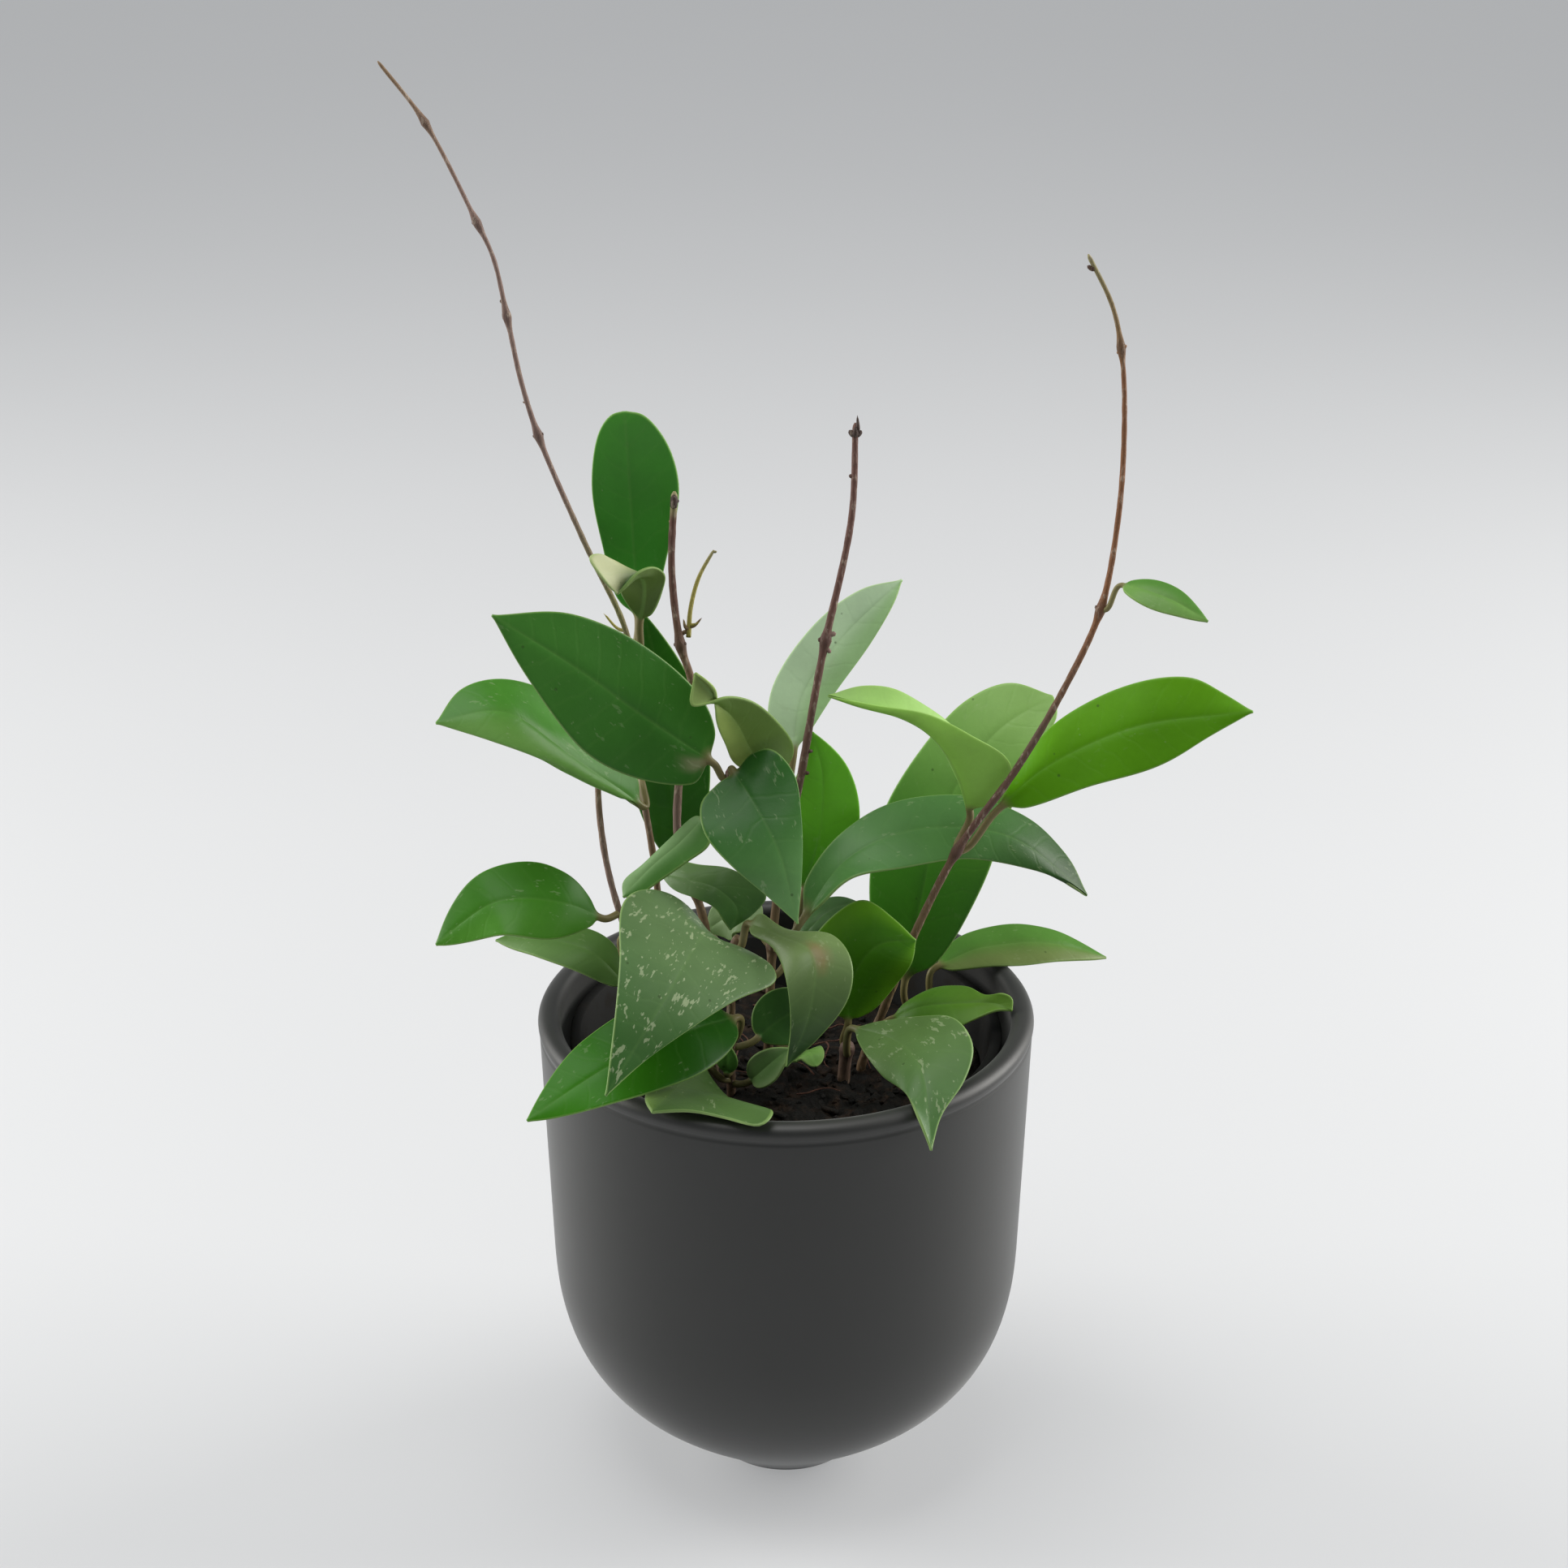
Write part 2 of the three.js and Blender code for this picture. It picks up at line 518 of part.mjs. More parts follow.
    width: 6, face: [[-0.2, -1, 0]],
  },
  behind_long: {
    on: 'middle', node: 0, colour: 0x477a3c,
    vein: [[4, -2, 161], [9, 1, 165], [15, 5, 167], [21, 7, 167]],
    width: 12, face: [[0, -0.3, 1]],
  },
  dark_low: {
    on: 'front_short', at: 0.45, colour: 0x2f6a24,
    vein: [[-8, -11, 135], [-3, -8, 138.5], [4, -5, 141.5], [10, -2, 143.5]],
    width: 16, face: [[0, -0.9, 0.4]],
  },
  pale_inner: {
    on: 'middle', node: 0, colour: 0x7fa06a,
    vein: [[-8, 3, 162], [-12, 8, 163], [-17, 12, 160], [-22, 15, 155]],
    width: 14, face: [[0, -0.8, 0.6]],
  },
  seedling_folded: {
    on: 'front_short', at: 0.28, colour: 0x6f9a58,
    vein: [[-9.5, -17, 125.5], [-7, -19, 129], [-3, -19, 133], [1, -18, 136]],
    width: 9, face: [[0, -0.8, 0.6]], lift: 0.35,
  },
  round_low: {
    on: 'middle', at: 0.13, colour: 0x7fae50,
    vein: [[3, -11, 130], [5, -16, 133], [7, -20, 135], [8, -23, 133]],
    width: 9, face: [[0, -0.4, 1]], ends: [0.7, 0.5],
  },
};

/** A smooth curve through points, walked by shares of its length. */
const through = (points) => new THREE.CatmullRomCurve3(points, false, 'centripetal');

/** The blade's half width as a share of its widest, from 0 at the base to 1 at the tip. */
function outlineAt(u, widest, ends) {
  const towardsBase = u < widest;
  const reach = towardsBase ? (widest - u) / widest : (u - widest) / (1 - widest);
  const share = Math.max(Math.cos((Math.PI / 2) * Math.min(reach, 1)), 0);
  return share ** (towardsBase ? ends[0] : ends[1]);
}

/** The left and the right margin of a blade, both from its base to its tip. */
function marginCurves(leaf, vein) {
  if (leaf.left) {
    const [base, tip] = [vein.getPointAt(0), vein.getPointAt(1)];
    return [leaf.left, leaf.right].map((points) => through([base, ...points.map(vec), tip]));
  }
  const faces = leaf.face.map((f) => vec(f).normalize());
  const sides = [[], []];
  for (let i = 0; i <= OVAL_STEPS; i += 1) {
    const u = 0.5 - 0.5 * Math.cos((Math.PI * i) / OVAL_STEPS);
    const tangent = vein.getTangentAt(u);
    const normal = acrossOf(faces[0].clone().lerp(faces[faces.length - 1], u), tangent);
    const across = new THREE.Vector3().crossVectors(tangent, normal);
    const half = (leaf.width / 2) * outlineAt(u, leaf.widest, leaf.ends);
    const middle = vein.getPointAt(u).addScaledVector(normal, half * leaf.lift);
    sides[0].push(middle.clone().addScaledVector(across, -half));
    sides[1].push(middle.clone().addScaledVector(across, half));
  }
  return sides.map(through);
}

/** The stalk: it leaves the stem squarely, just clear of it, and runs into the middle vein. */
function stalkCurve(leaf, bladeStart, bladeDirection) {
  const stem = STEMS[leaf.on];
  const curve = stemCurves[leaf.on];
  const share = leaf.at ?? stem.nodes[leaf.node];
  const centre = curve.getPointAt(share);
  const tangent = curve.getTangentAt(share);
  const out = acrossOf(bladeStart.clone().sub(centre), tangent);
  const start = centre.clone().addScaledVector(out, stemRadius(stem, curve, share) + SEAT_GAP);
  const handle = start.distanceTo(bladeStart) / 3;
  return new THREE.CubicBezierCurve3(
    start,
    start.clone().addScaledVector(out, handle),
    bladeStart.clone().addScaledVector(bladeDirection, -handle),
    bladeStart,
  );
}

/**
 * One ring of ten points round `centre`: five across the upper side from left to right, five back
 * below. `reach` leads from the middle to the right margin, `lift` is how far the two margins
 * stand over the vein, `stalk` is the stalk's radius, and `flatness` turns its round section (0)
 * into the blade's (1).
 */
function leafRing({ centre, tangent, normal, reach, lift, flatness, u, stalk }) {
  const across = new THREE.Vector3().crossVectors(tangent, normal);
  const [upper, lower] = [1, -1].map((side) => BLADE_SHARES.map((share, i) => {
    const angle = Math.PI / 2 + STALK_ANGLE * ((BLADE_SHARES.length - 1) / 2 - i);
    const round = centre.clone()
      .addScaledVector(across, stalk * Math.cos(angle))
      .addScaledVector(normal, side * stalk * Math.sin(angle));
    const slope = reach.clone().addScaledVector(lift, 2 * share);
    const out = slope.cross(tangent).normalize();
    const thickness = THREE.MathUtils.lerp(LEAF_MID_THICKNESS, LEAF_EDGE_THICKNESS, share * share);
    const wave = WAVE_HEIGHT * Math.sin(u * WAVE_ANGLE + (share > 0 ? 0 : WAVE_OFFSET));
    const flat = centre.clone()
      .addScaledVector(reach, share)
      .addScaledVector(lift, share * share)
      .addScaledVector(normal, wave * reach.length() * share * share)
      .addScaledVector(out, (side * thickness) / 2);
    return round.lerp(flat, flatness);
  }));
  return [...upper, ...lower.reverse()];
}

function leafGeometry(entry) {
  const leaf = { ...USUAL_LEAF, ...entry };
  const vein = through(leaf.vein.map(vec));
  const margins = marginCurves(leaf, vein);
  const stalk = stalkCurve(leaf, vein.getPointAt(0), vein.getTangentAt(0));
  const ringAt = (centre, tangent, u, flatness) => {
    const near = THREE.MathUtils.clamp(u, NEAREST_END, 1 - NEAREST_END);
    const [nearLeft, nearRight] = margins.map((margin) => margin.getPointAt(near));
    const facing = nearRight.sub(nearLeft).cross(vein.getTangentAt(near));
    const normal = acrossOf(facing, tangent);
    const [left, right] = margins.map((margin) => margin.getPointAt(u));
    let reach = right.clone().sub(left).divideScalar(2);
    const least = u < 0.5 ? leaf.stalk : TIP_HALF_WIDTH;
    if (reach.length() < least) {
      reach = new THREE.Vector3().crossVectors(tangent, normal).multiplyScalar(least);
    }
    const lift = left.add(right).divideScalar(2).sub(centre);
    return leafRing({ centre, tangent, normal, reach, lift, flatness, u, stalk: leaf.stalk });
  };
  const rings = [];
  for (let i = 0; i < STALK_RINGS; i += 1) {
    const t = i / STALK_RINGS;
    rings.push(ringAt(stalk.getPointAt(t), stalk.getTangentAt(t), 0, 0));
  }
  for (let i = 0; i <= BLADE_RINGS; i += 1) {
    const u = 0.5 - 0.5 * Math.cos((Math.PI * i) / BLADE_RINGS);
    rings.push(ringAt(vein.getPointAt(u), vein.getTangentAt(u), u, i === 0 ? BLADE_START : 1));
  }
  return skin(rings, BLADE_SHARES.length, true);
}

// Soil

/** The height of the soil's lumpy top at a point. */
function soilTop(x, y) {
  const small = Math.sin(x * SOIL_WAVE + 1) * Math.cos(y * SOIL_WAVE);
  const broad = Math.sin((x - y) * SOIL_BROAD_WAVE);
  return SOIL_LEVEL + SOIL_LUMP * small + SOIL_BROAD_LUMP * broad;
}

function soilBody() {
  const bottom = NURSERY_BASE_HEIGHT + NURSERY_WALL + SEAT_GAP;
  const rings = [];
  const ringAt = (radius, height) => Array.from({ length: SOIL_SIDES }, (_, j) => {
    const angle = (j / SOIL_SIDES) * Math.PI * 2;
    const x = radius * Math.cos(angle);
    const y = radius * Math.sin(angle);
    return new THREE.Vector3(x, y, height ?? soilTop(x, y));
  });
  const edge = (height) => nurseryRadius(height) * Math.cos(Math.PI / NURSERY_SIDES) - SEAT_GAP;
  rings.push(ringAt(SOIL_BOTTOM_HUB, bottom));
  rings.push(ringAt(edge(bottom), bottom));
  const rim = edge(SOIL_LEVEL);
  for (const share of SOIL_RING_SHARES) {
    rings.push(ringAt(rim * share));
  }
  return skin(rings, SOIL_SIDES, false);
}

const wasm = await Module();
wasm.setup();

/** A closed three.js mesh as a solid for joining and cutting. */
function solidOf(geometry) {
  const bare = geometry.clone();
  bare.deleteAttribute('normal');
  bare.deleteAttribute('uv');
  const merged = mergeVertices(bare, 1e-4);
  return new wasm.Manifold(new wasm.Mesh({
    numProp: 3,
    vertProperties: new Float32Array(merged.attributes.position.array),
    triVerts: new Uint32Array(merged.index.array),
  }));
}

/** The solid as a three.js geometry again. */
function geometryOf(solid) {
  const mesh = solid.getMesh();
  const geometry = new THREE.BufferGeometry();
  geometry.setAttribute('position', new THREE.Float32BufferAttribute(mesh.vertProperties, 3));
  geometry.setIndex(new THREE.Uint32BufferAttribute(mesh.triVerts, 1));
  return geometry;
}

/** The soil with a plain hole for each rooted stem. */
function soilGeometry() {
  let soil = solidOf(soilBody());
  for (const [name, stem] of Object.entries(STEMS).filter(([, s]) => s.rooted)) {
    const curve = stemCurves[name];
    const reach = (ROOT_DEPTH + HOLE_TOP) / curve.getLength();
    const shares = Array.from({ length: HOLE_RINGS }, (_, i) => (reach * i) / (HOLE_RINGS - 1));
    const rings = stemRings(stem, curve, shares, STEM_SIDES, HOLE_GAP);
    const drop = curve.getTangentAt(0).multiplyScalar(-2 * HOLE_GAP);
    rings.unshift(rings[0].map((p) => p.clone().add(drop)));
    soil = soil.subtract(solidOf(skin(rings, STEM_SIDES, false)));
  }
  return geometryOf(soil);
}

// The plant

const POT_FINISH = { colour: 0x3d3d3c, roughness: 0.5 };
const NURSERY_FINISH = { colour: 0x1c1c1c, roughness: 0.6 };
const SOIL_FINISH = { colour: 0x2a2019, roughness: 0.95 };
const BARK_ROUGHNESS = 0.8;
const LEAF_ROUGHNESS = 0.5;

const plant = new THREE.Group();

function addPart(name, geometry, { colour, roughness }) {
  const material = new THREE.MeshStandardMaterial({ color: colour, roughness, metalness: 0 });
  const mesh = new THREE.Mesh(geometry, material);
  mesh.name = name;
  plant.add(mesh);
}

addPart('pot', potGeometry(), POT_FINISH);
addPart('grow_pot', nurseryPotGeometry(), NURSERY_FINISH);
addPart('soil', soilGeometry(), SOIL_FINISH);
for (const [name, stem] of Object.entries(STEMS)) {
  addPart(`stem_${name}`, stemGeometry(name), { colour: stem.colour, roughness: BARK_ROUGHNESS });
}
for (const [name, leaf] of Object.entries(LEAVES)) {
  addPart(`leaf_${name}`, leafGeometry(leaf), { colour: leaf.colour, roughness: LEAF_ROUGHNESS });
}

export default plant;
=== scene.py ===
"""A potted hoya: a matte charcoal cover pot, a thin nursery pot with soil inside it, and a
climbing plant of wiry stems and thick waxy leaves.

The scene is in metres, +Z up, with the origin at the centre of the pot's foot and -Y to the
front. The sizes in the classes and tables below are in millimetres, and those of the floor,
the lights and the camera are in metres.
"""

import logging
import math
import random
from dataclasses import dataclass, field
from enum import Enum
from typing import Callable

import bpy
from mathutils import Matrix, Vector, noise


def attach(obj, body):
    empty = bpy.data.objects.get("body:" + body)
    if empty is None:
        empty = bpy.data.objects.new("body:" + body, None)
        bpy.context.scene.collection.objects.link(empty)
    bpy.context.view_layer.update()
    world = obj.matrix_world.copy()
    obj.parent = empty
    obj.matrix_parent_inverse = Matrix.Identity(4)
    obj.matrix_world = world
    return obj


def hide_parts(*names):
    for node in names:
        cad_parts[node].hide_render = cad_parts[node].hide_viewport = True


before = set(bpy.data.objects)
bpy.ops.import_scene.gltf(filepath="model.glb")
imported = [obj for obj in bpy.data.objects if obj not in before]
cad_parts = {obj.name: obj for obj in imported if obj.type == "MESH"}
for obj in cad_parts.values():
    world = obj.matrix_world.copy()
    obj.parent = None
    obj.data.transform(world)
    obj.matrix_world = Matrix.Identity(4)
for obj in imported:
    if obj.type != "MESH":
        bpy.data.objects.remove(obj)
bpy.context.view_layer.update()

BODY = "root"
MM = 0.001
SEED = 11
WELD_DISTANCE = 1e-6
CREASE_ANGLE = math.radians(50)

Triple = tuple[float, float, float]
Colour = tuple[float, float, float, float]
Settings = dict[str, object]
Sockets = dict[str | int, object]

log = logging.getLogger("potted_hoya")


def srgb(red: float, green: float, blue: float) -> Colour:
    """A linear colour from the usual levels of 0 to 255.

    Args:
        red: Level of red.
        green: Level of green.
        blue: Level of blue.

    Returns:
        The colour with an alpha of 1.
    """
    levels = [level / 255 for level in (red, green, blue)]
    linear = [s / 12.92 if s <= 0.04045 else ((s + 0.055) / 1.055) ** 2.4 for s in levels]
    return (*linear, 1.0)


def smooth(low: float, high: float, value: float) -> float:
    """An eased share of the way from one value to another.

    Args:
        low: Where the share is 0.
        high: Where the share is 1.
        value: The value to place between them.

    Returns:
        A share from 0 to 1.
    """
    share = min(max((value - low) / (high - low), 0.0), 1.0)
    return share * share * (3 - 2 * share)


def mixed(first: Colour, second: Colour, share: float) -> Colour:
    """The colour that lies a share of the way from the first to the second."""
    return tuple(a + (b - a) * share for a, b in zip(first, second))


def across_of(direction: Vector, tangent: Vector) -> Vector:
    """The unit vector of a direction without its share along a tangent."""
    return (direction - tangent * direction.dot(tangent)).normalized()


class Course:
    """A smooth line in millimetres, walked by shares of its own length."""

    SAMPLES = 24
    TANGENT_REACH = 0.6

    def __init__(self, points: list[Vector]) -> None:
        """Measures a dense row of points.

        Args:
            points: Points that lie close together along the line.
        """
        self.points = points
        self.reached = [0.0]
        for before, after in zip(points, points[1:]):
            self.reached.append(self.reached[-1] + (after - before).length)

    @classmethod
    def through(cls, corners: tuple[Triple, ...]) -> "Course":
        """A centripetal Catmull-Rom curve.

        Args:
            corners: The points that the curve passes through.

        Returns:
            The course along that curve.
        """
        knots = [Vector(c) for c in corners]
        knots = [knots[0] * 2 - knots[1], *knots, knots[-1] * 2 - knots[-2]]
        points = []
        for before, start, end, after in zip(knots, knots[1:], knots[2:], knots[3:]):
            lead = math.sqrt((start - before).length)
            span = math.sqrt((end - start).length)
            trail = math.sqrt((after - end).length)
            leave = (start - before) / lead - (end - before) / (lead + span) + (end - start) / span
            arrive = (end - start) / span - (after - start) / (span + trail) + (after - end) / trail
            leave, arrive = leave * span, arrive * span
            for step in range(cls.SAMPLES):
                t = step / cls.SAMPLES
                points.append(
                    start
                    + leave * t
                    + ((end - start) * 3 - leave * 2 - arrive) * t**2
                    + ((start - end) * 2 + leave + arrive) * t**3
                )
        return cls([*points, knots[-2]])

    @classmethod
    def bow(cls, start: Vector, leave: Vector, arrive: Vector, end: Vector) -> "Course":
        """A cubic Bezier curve.

        Args:
            start: Where the curve starts.
            leave: Its first handle.
            arrive: Its second handle.
            end: Where it ends.

        Returns:
            The course along that curve.
        """
        points = []
        for step in range(cls.SAMPLES + 1):
            t = step / cls.SAMPLES
            rest = 1 - t
            bend = leave * (3 * rest * rest * t) + arrive * (3 * rest * t * t)
            points.append(start * rest**3 + bend + end * t**3)
        return cls(points)

    @property
    def length(self) -> float:
        """The whole length in millimetres."""
        return self.reached[-1]

    def _span(self, share: float) -> tuple[int, float]:
        """Finds the two sampled points round a share of the length.

        Args:
            share: The share, from 0 to 1.

        Returns:
            The index of the point before it, and how far it lies towards the next.
        """
        goal = min(max(share, 0.0), 1.0) * self.length
        low, high = 0, len(self.reached) - 1
        while high - low > 1:
            middle = (low + high) // 2
            low, high = (middle, high) if self.reached[middle] <= goal else (low, middle)
        return low, (goal - self.reached[low]) / (self.reached[high] - self.reached[low])

    def at(self, share: float) -> Vector:
        """The point at a share of the length."""
        index, part = self._span(share)
        return self.points[index].lerp(self.points[index + 1], part)

    def tangent(self, share: float) -> Vector:
        """The unit direction of travel at a share of the length."""
        near = self.TANGENT_REACH / self.length
        return (self.at(share + near) - self.at(share - near)).normalized()


class Num:
    """A number socket of a node tree, which adds Math nodes where it is reckoned with."""

    def __init__(self, shader: "Shader", socket: bpy.types.NodeSocket) -> None:
        """Keeps the socket and the shader it belongs to.

        Args:
            shader: The shader that adds the nodes.
            socket: The output socket that holds the number.
        """
        self.shader = shader
        self.socket = socket

    def _math(self, operation: str, *values: "Num | float") -> "Num":
        """Adds one Math node.

        Args:
            operation: What the node does.
            values: What goes into it, in order.

        Returns:
            The node's result.
        """
        return self.shader.num("ShaderNodeMath", {"operation": operation}, dict(enumerate(values)))

    def __add__(self, other: "Num | float") -> "Num":
        """The sum."""
        return self._math("ADD", self, other)

    def __radd__(self, other: float) -> "Num":
        """The sum, with the plain number first."""
        return self._math("ADD", other, self)

    def __sub__(self, other: "Num | float") -> "Num":
        """The difference."""
        return self._math("SUBTRACT", self, other)

    def __rsub__(self, other: float) -> "Num":
        """The difference, with the plain number first."""
        return self._math("SUBTRACT", other, self)

    def __mul__(self, other: "Num | float") -> "Num":
        """The product."""
        return self._math("MULTIPLY", self, other)

    def __rmul__(self, other: float) -> "Num":
        """The product, with the plain number first."""
        return self._math("MULTIPLY", other, self)

    def ping_pong(self, reach: float) -> "Num":
        """A zigzag between 0 and a reach."""
        return self._math("PINGPONG", self, reach)

    def between(self, low: float, high: float) -> "Num":
        """An eased share of the way from a low value to a high one.

        Args:
            low: Where the share is 0.
            high: Where the share is 1.

        Returns:
            The share, kept within 0 and 1.
        """
        settings = {"interpolation_type": "SMOOTHSTEP"}
        sockets = {"Value": self, "From Min": low, "From Max": high}
        return self.shader.num("ShaderNodeMapRange", settings, sockets)

    def across(self, span: tuple[float, float]) -> "Num":
        """An eased share of the way across a span of millimetres."""
        return self.between(span[0] * MM, span[1] * MM)


class Shader:
    """The node tree of one new material."""

    def __init__(self, name: str) -> None:
        """Makes the material and its tree.

        Args:
            name: The material's name.
        """
        self.material = bpy.data.materials.new(name)
        self.material.use_nodes = True
        self.tree = self.material.node_tree
        self.surface = self.tree.nodes["Principled BSDF"]

    def node(self, kind: str, settings: Settings, sockets: Sockets) -> bpy.types.Node:
        """Adds one node.

        Args:
            kind: The node's type.
            settings: Its properties, set before the sockets.
            sockets: Values, numbers or output sockets by the input's name or index.

        Returns:
            The new node.
        """
        node = self.tree.nodes.new(kind)
        for key, value in settings.items():
            setattr(node, key, value)
        self.feed(node, sockets)
        return node

    def feed(self, node: bpy.types.Node, sockets: Sockets) -> None:
        """Sets or links a node's inputs.

        Args:
            node: The node.
            sockets: Values, numbers or output sockets by the input's name or index.
        """
        for key, value in sockets.items():
            if isinstance(value, Num):
                value = value.socket
            if isinstance(value, bpy.types.NodeSocket):
                self.tree.links.new(value, node.inputs[key])
            else:
                node.inputs[key].default_value = value

    def num(self, kind: str, settings: Settings, sockets: Sockets, output: str | int = 0) -> Num:
        """Adds a node and takes one of its outputs as a number.

        Args:
            kind: The node's type.
            settings: Its properties.
            sockets: Its inputs.
            output: The output's name or index.

        Returns:
            The number.
        """
        return Num(self, self.node(kind, settings, sockets).outputs[output])

    def place(self) -> bpy.types.NodeSocket:
        """The place on the piece in metres."""
        return self.node("ShaderNodeTexCoord", {}, {}).outputs["Object"]

    def painted(self, attribute: str) -> bpy.types.NodeSocket:
        """A colour attribute of the mesh."""
        return self.node("ShaderNodeAttribute", {"attribute_name": attribute}, {}).outputs["Color"]

    def marked(self, attribute: str) -> Num:
        """A number attribute of the mesh."""
        return self.num("ShaderNodeAttribute", {"attribute_name": attribute}, {}, "Fac")

    def stretched(self, place: bpy.types.NodeSocket, scale: Triple) -> bpy.types.NodeSocket:
        """A place with its axes scaled."""
        return self.node("ShaderNodeMapping", {}, {"Vector": place, "Scale": scale}).outputs[0]

    def part(self, place: bpy.types.NodeSocket, axis: str) -> Num:
        """One coordinate of a place, by the name of its axis."""
        return self.num("ShaderNodeSeparateXYZ", {}, {0: place}, axis)

    def cloud(self, place: bpy.types.NodeSocket, scale: float, detail: float) -> Num:
        """Soft noise from 0 to 1.

        Args:
            place: Where on the surface it is read.
            scale: How many lumps lie in a unit of length.
            detail: How many finer layers lie in it.

        Returns:
            The noise.
        """
        sockets = {"Vector": place, "Scale": scale, "Detail": detail, "Roughness": 0.55}
        return self.num("ShaderNodeTexNoise", {}, sockets)

    def cells(self, place: bpy.types.NodeSocket, scale: float) -> Num:
        """Scattered cells, as the distance to the nearest middle."""
        return self.num("ShaderNodeTexVoronoi", {}, {"Vector": place, "Scale": scale})

    def blend(
        self, share: Num | float, first: object, second: object, how: str = "MIX"
    ) -> bpy.types.NodeSocket:
        """Mixes two colours.

        Args:
            share: How much of the second shows.
            first: A colour or its socket.
            second: Another.
            how: The kind of blend.

        Returns:
            The mixed colour.
        """
        settings = {"data_type": "RGBA", "blend_type": how}
        node = self.node("ShaderNodeMix", settings, {0: share, 6: first, 7: second})
        return node.outputs[2]

    def shaded(self, colour: object, level: Num) -> bpy.types.NodeSocket:
        """A colour made lighter or darker by a number."""
        return self.blend(1.0, colour, level, "MULTIPLY")

    def bump(self, height: Num, distance: float, strength: float = 1.0) -> bpy.types.NodeSocket:
        """A normal that follows a height.

        Args:
            height: The height, as a share of the distance.
            distance: The full height in millimetres.
            strength: How strongly it shows.

        Returns:
            The normal.
        """
        sockets = {"Height": height, "Distance": distance * MM, "Strength": strength}
        return self.node("ShaderNodeBump", {}, sockets).outputs["Normal"]


def deselect_all() -> None:
    """Clears the selection, on which every operator would act."""
    bpy.ops.object.select_all(action="DESELECT")


def apply_modifiers(piece: bpy.types.Object) -> None:
    """Applies a piece's modifiers in order."""
    for name in [modifier.name for modifier in piece.modifiers]:
        bpy.ops.object.modifier_apply(modifier=name)


def grid(name: str, columns: int, rows: list[list[Vector]]) -> bpy.types.Object:
    """Adds a grid and lays its points out by rows.

    Args:
        name: The piece's name.
        columns: How many faces lie across.
        rows: One list of points in millimetres for each row.

    Returns:
        The new object, selected and active.
    """
    deselect_all()
    bpy.ops.mesh.primitive_grid_add(x_subdivisions=columns, y_subdivisions=len(rows) - 1, size=1)
    piece = bpy.context.object
    piece.name = piece.data.name = name
    flat = [c * MM for row in rows for point in row for c in point]
    piece.data.vertices.foreach_set("co", flat)
    return piece


def mark(piece: bpy.types.Object, name: str, values: list[float]) -> None:
    """Writes one number for each point of a mesh as an attribute."""
    piece.data.attributes.new(name, "FLOAT", "POINT").data.foreach_set("value", values)


def tube(name: str, rings: list[list[Vector]]) -> bpy.types.Object:
    """A tube from a grid that is wrapped round, whose seam and ends are still open.

    Args:
        name: The piece's name.
        rings: One list of points in millimetres for each ring.

    Returns:
        The new object, selected and active.
    """
    return grid(name, len(rings[0]), [[*ring, ring[0]] for ring in rings])


def close_tube() -> None:
    """Merges the seam of the active tube, fills its ends and turns its faces out."""
    bpy.ops.object.mode_set(mode="EDIT")
    bpy.ops.mesh.select_all(action="SELECT")
    bpy.ops.mesh.remove_doubles(threshold=WELD_DISTANCE)
    bpy.ops.mesh.fill_holes(sides=0)
    bpy.ops.mesh.normals_make_consistent(inside=False)
    bpy.ops.object.mode_set(mode="OBJECT")
    bpy.ops.object.shade_smooth()


def turned(name: str, section: list[tuple[float, float]], steps: int) -> bpy.types.Object:
    """Spins a section round the Z axis into a closed body.

    Args:
        name: The piece's name.
        section: Radius and height of each point in millimetres, from the axis below, round the
            outside, and back to the axis inside.
        steps: How many faces lie round the body.

    Returns:
        The new object, selected and active.
    """
    deselect_all()
    bpy.ops.mesh.primitive_circle_add(vertices=len(section), fill_type="NOTHING")
    piece = bpy.context.object
    piece.name = piece.data.name = name
    piece.data.vertices.foreach_set("co", [c * MM for r, z in section for c in (r, 0.0, z)])
    ends = {0, len(section) - 1}
    bpy.ops.object.mode_set(mode="EDIT")
    bpy.ops.mesh.select_all(action="DESELECT")
    bpy.ops.mesh.select_mode(type="EDGE")
    bpy.ops.object.mode_set(mode="OBJECT")
    for edge in piece.data.edges:
        edge.select = set(edge.vertices) == ends
    bpy.ops.object.mode_set(mode="EDIT")
    bpy.ops.mesh.delete(type="EDGE")
    bpy.ops.mesh.select_mode(type="VERT")
    bpy.ops.mesh.select_all(action="SELECT")
    bpy.ops.mesh.spin(steps=steps, angle=math.tau, center=(0, 0, 0), axis=(0, 0, 1))
    bpy.ops.mesh.select_all(action="SELECT")
    bpy.ops.mesh.remove_doubles(threshold=WELD_DISTANCE)
    bpy.ops.mesh.normals_make_consistent(inside=False)
    bpy.ops.object.mode_set(mode="OBJECT")
    bpy.ops.object.shade_smooth_by_angle(angle=CREASE_ANGLE)
    return piece


def hand_over(piece: bpy.types.Object, finish: bpy.types.Material, slot: str, *nodes: str) -> None:
    """Dresses a finished piece and gives it its place in the part.

    Args:
        piece: The piece.
        finish: Its material.
        slot: The material slot that it stands for.
        nodes: The solids that it replaces.
    """
    piece.data.materials.clear()
    piece.data.materials.append(finish)
    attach(piece, BODY)
    if nodes:
        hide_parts(*nodes)
    log.info("%s: %d faces, slot %s", piece.name, len(piece.data.polygons), slot)


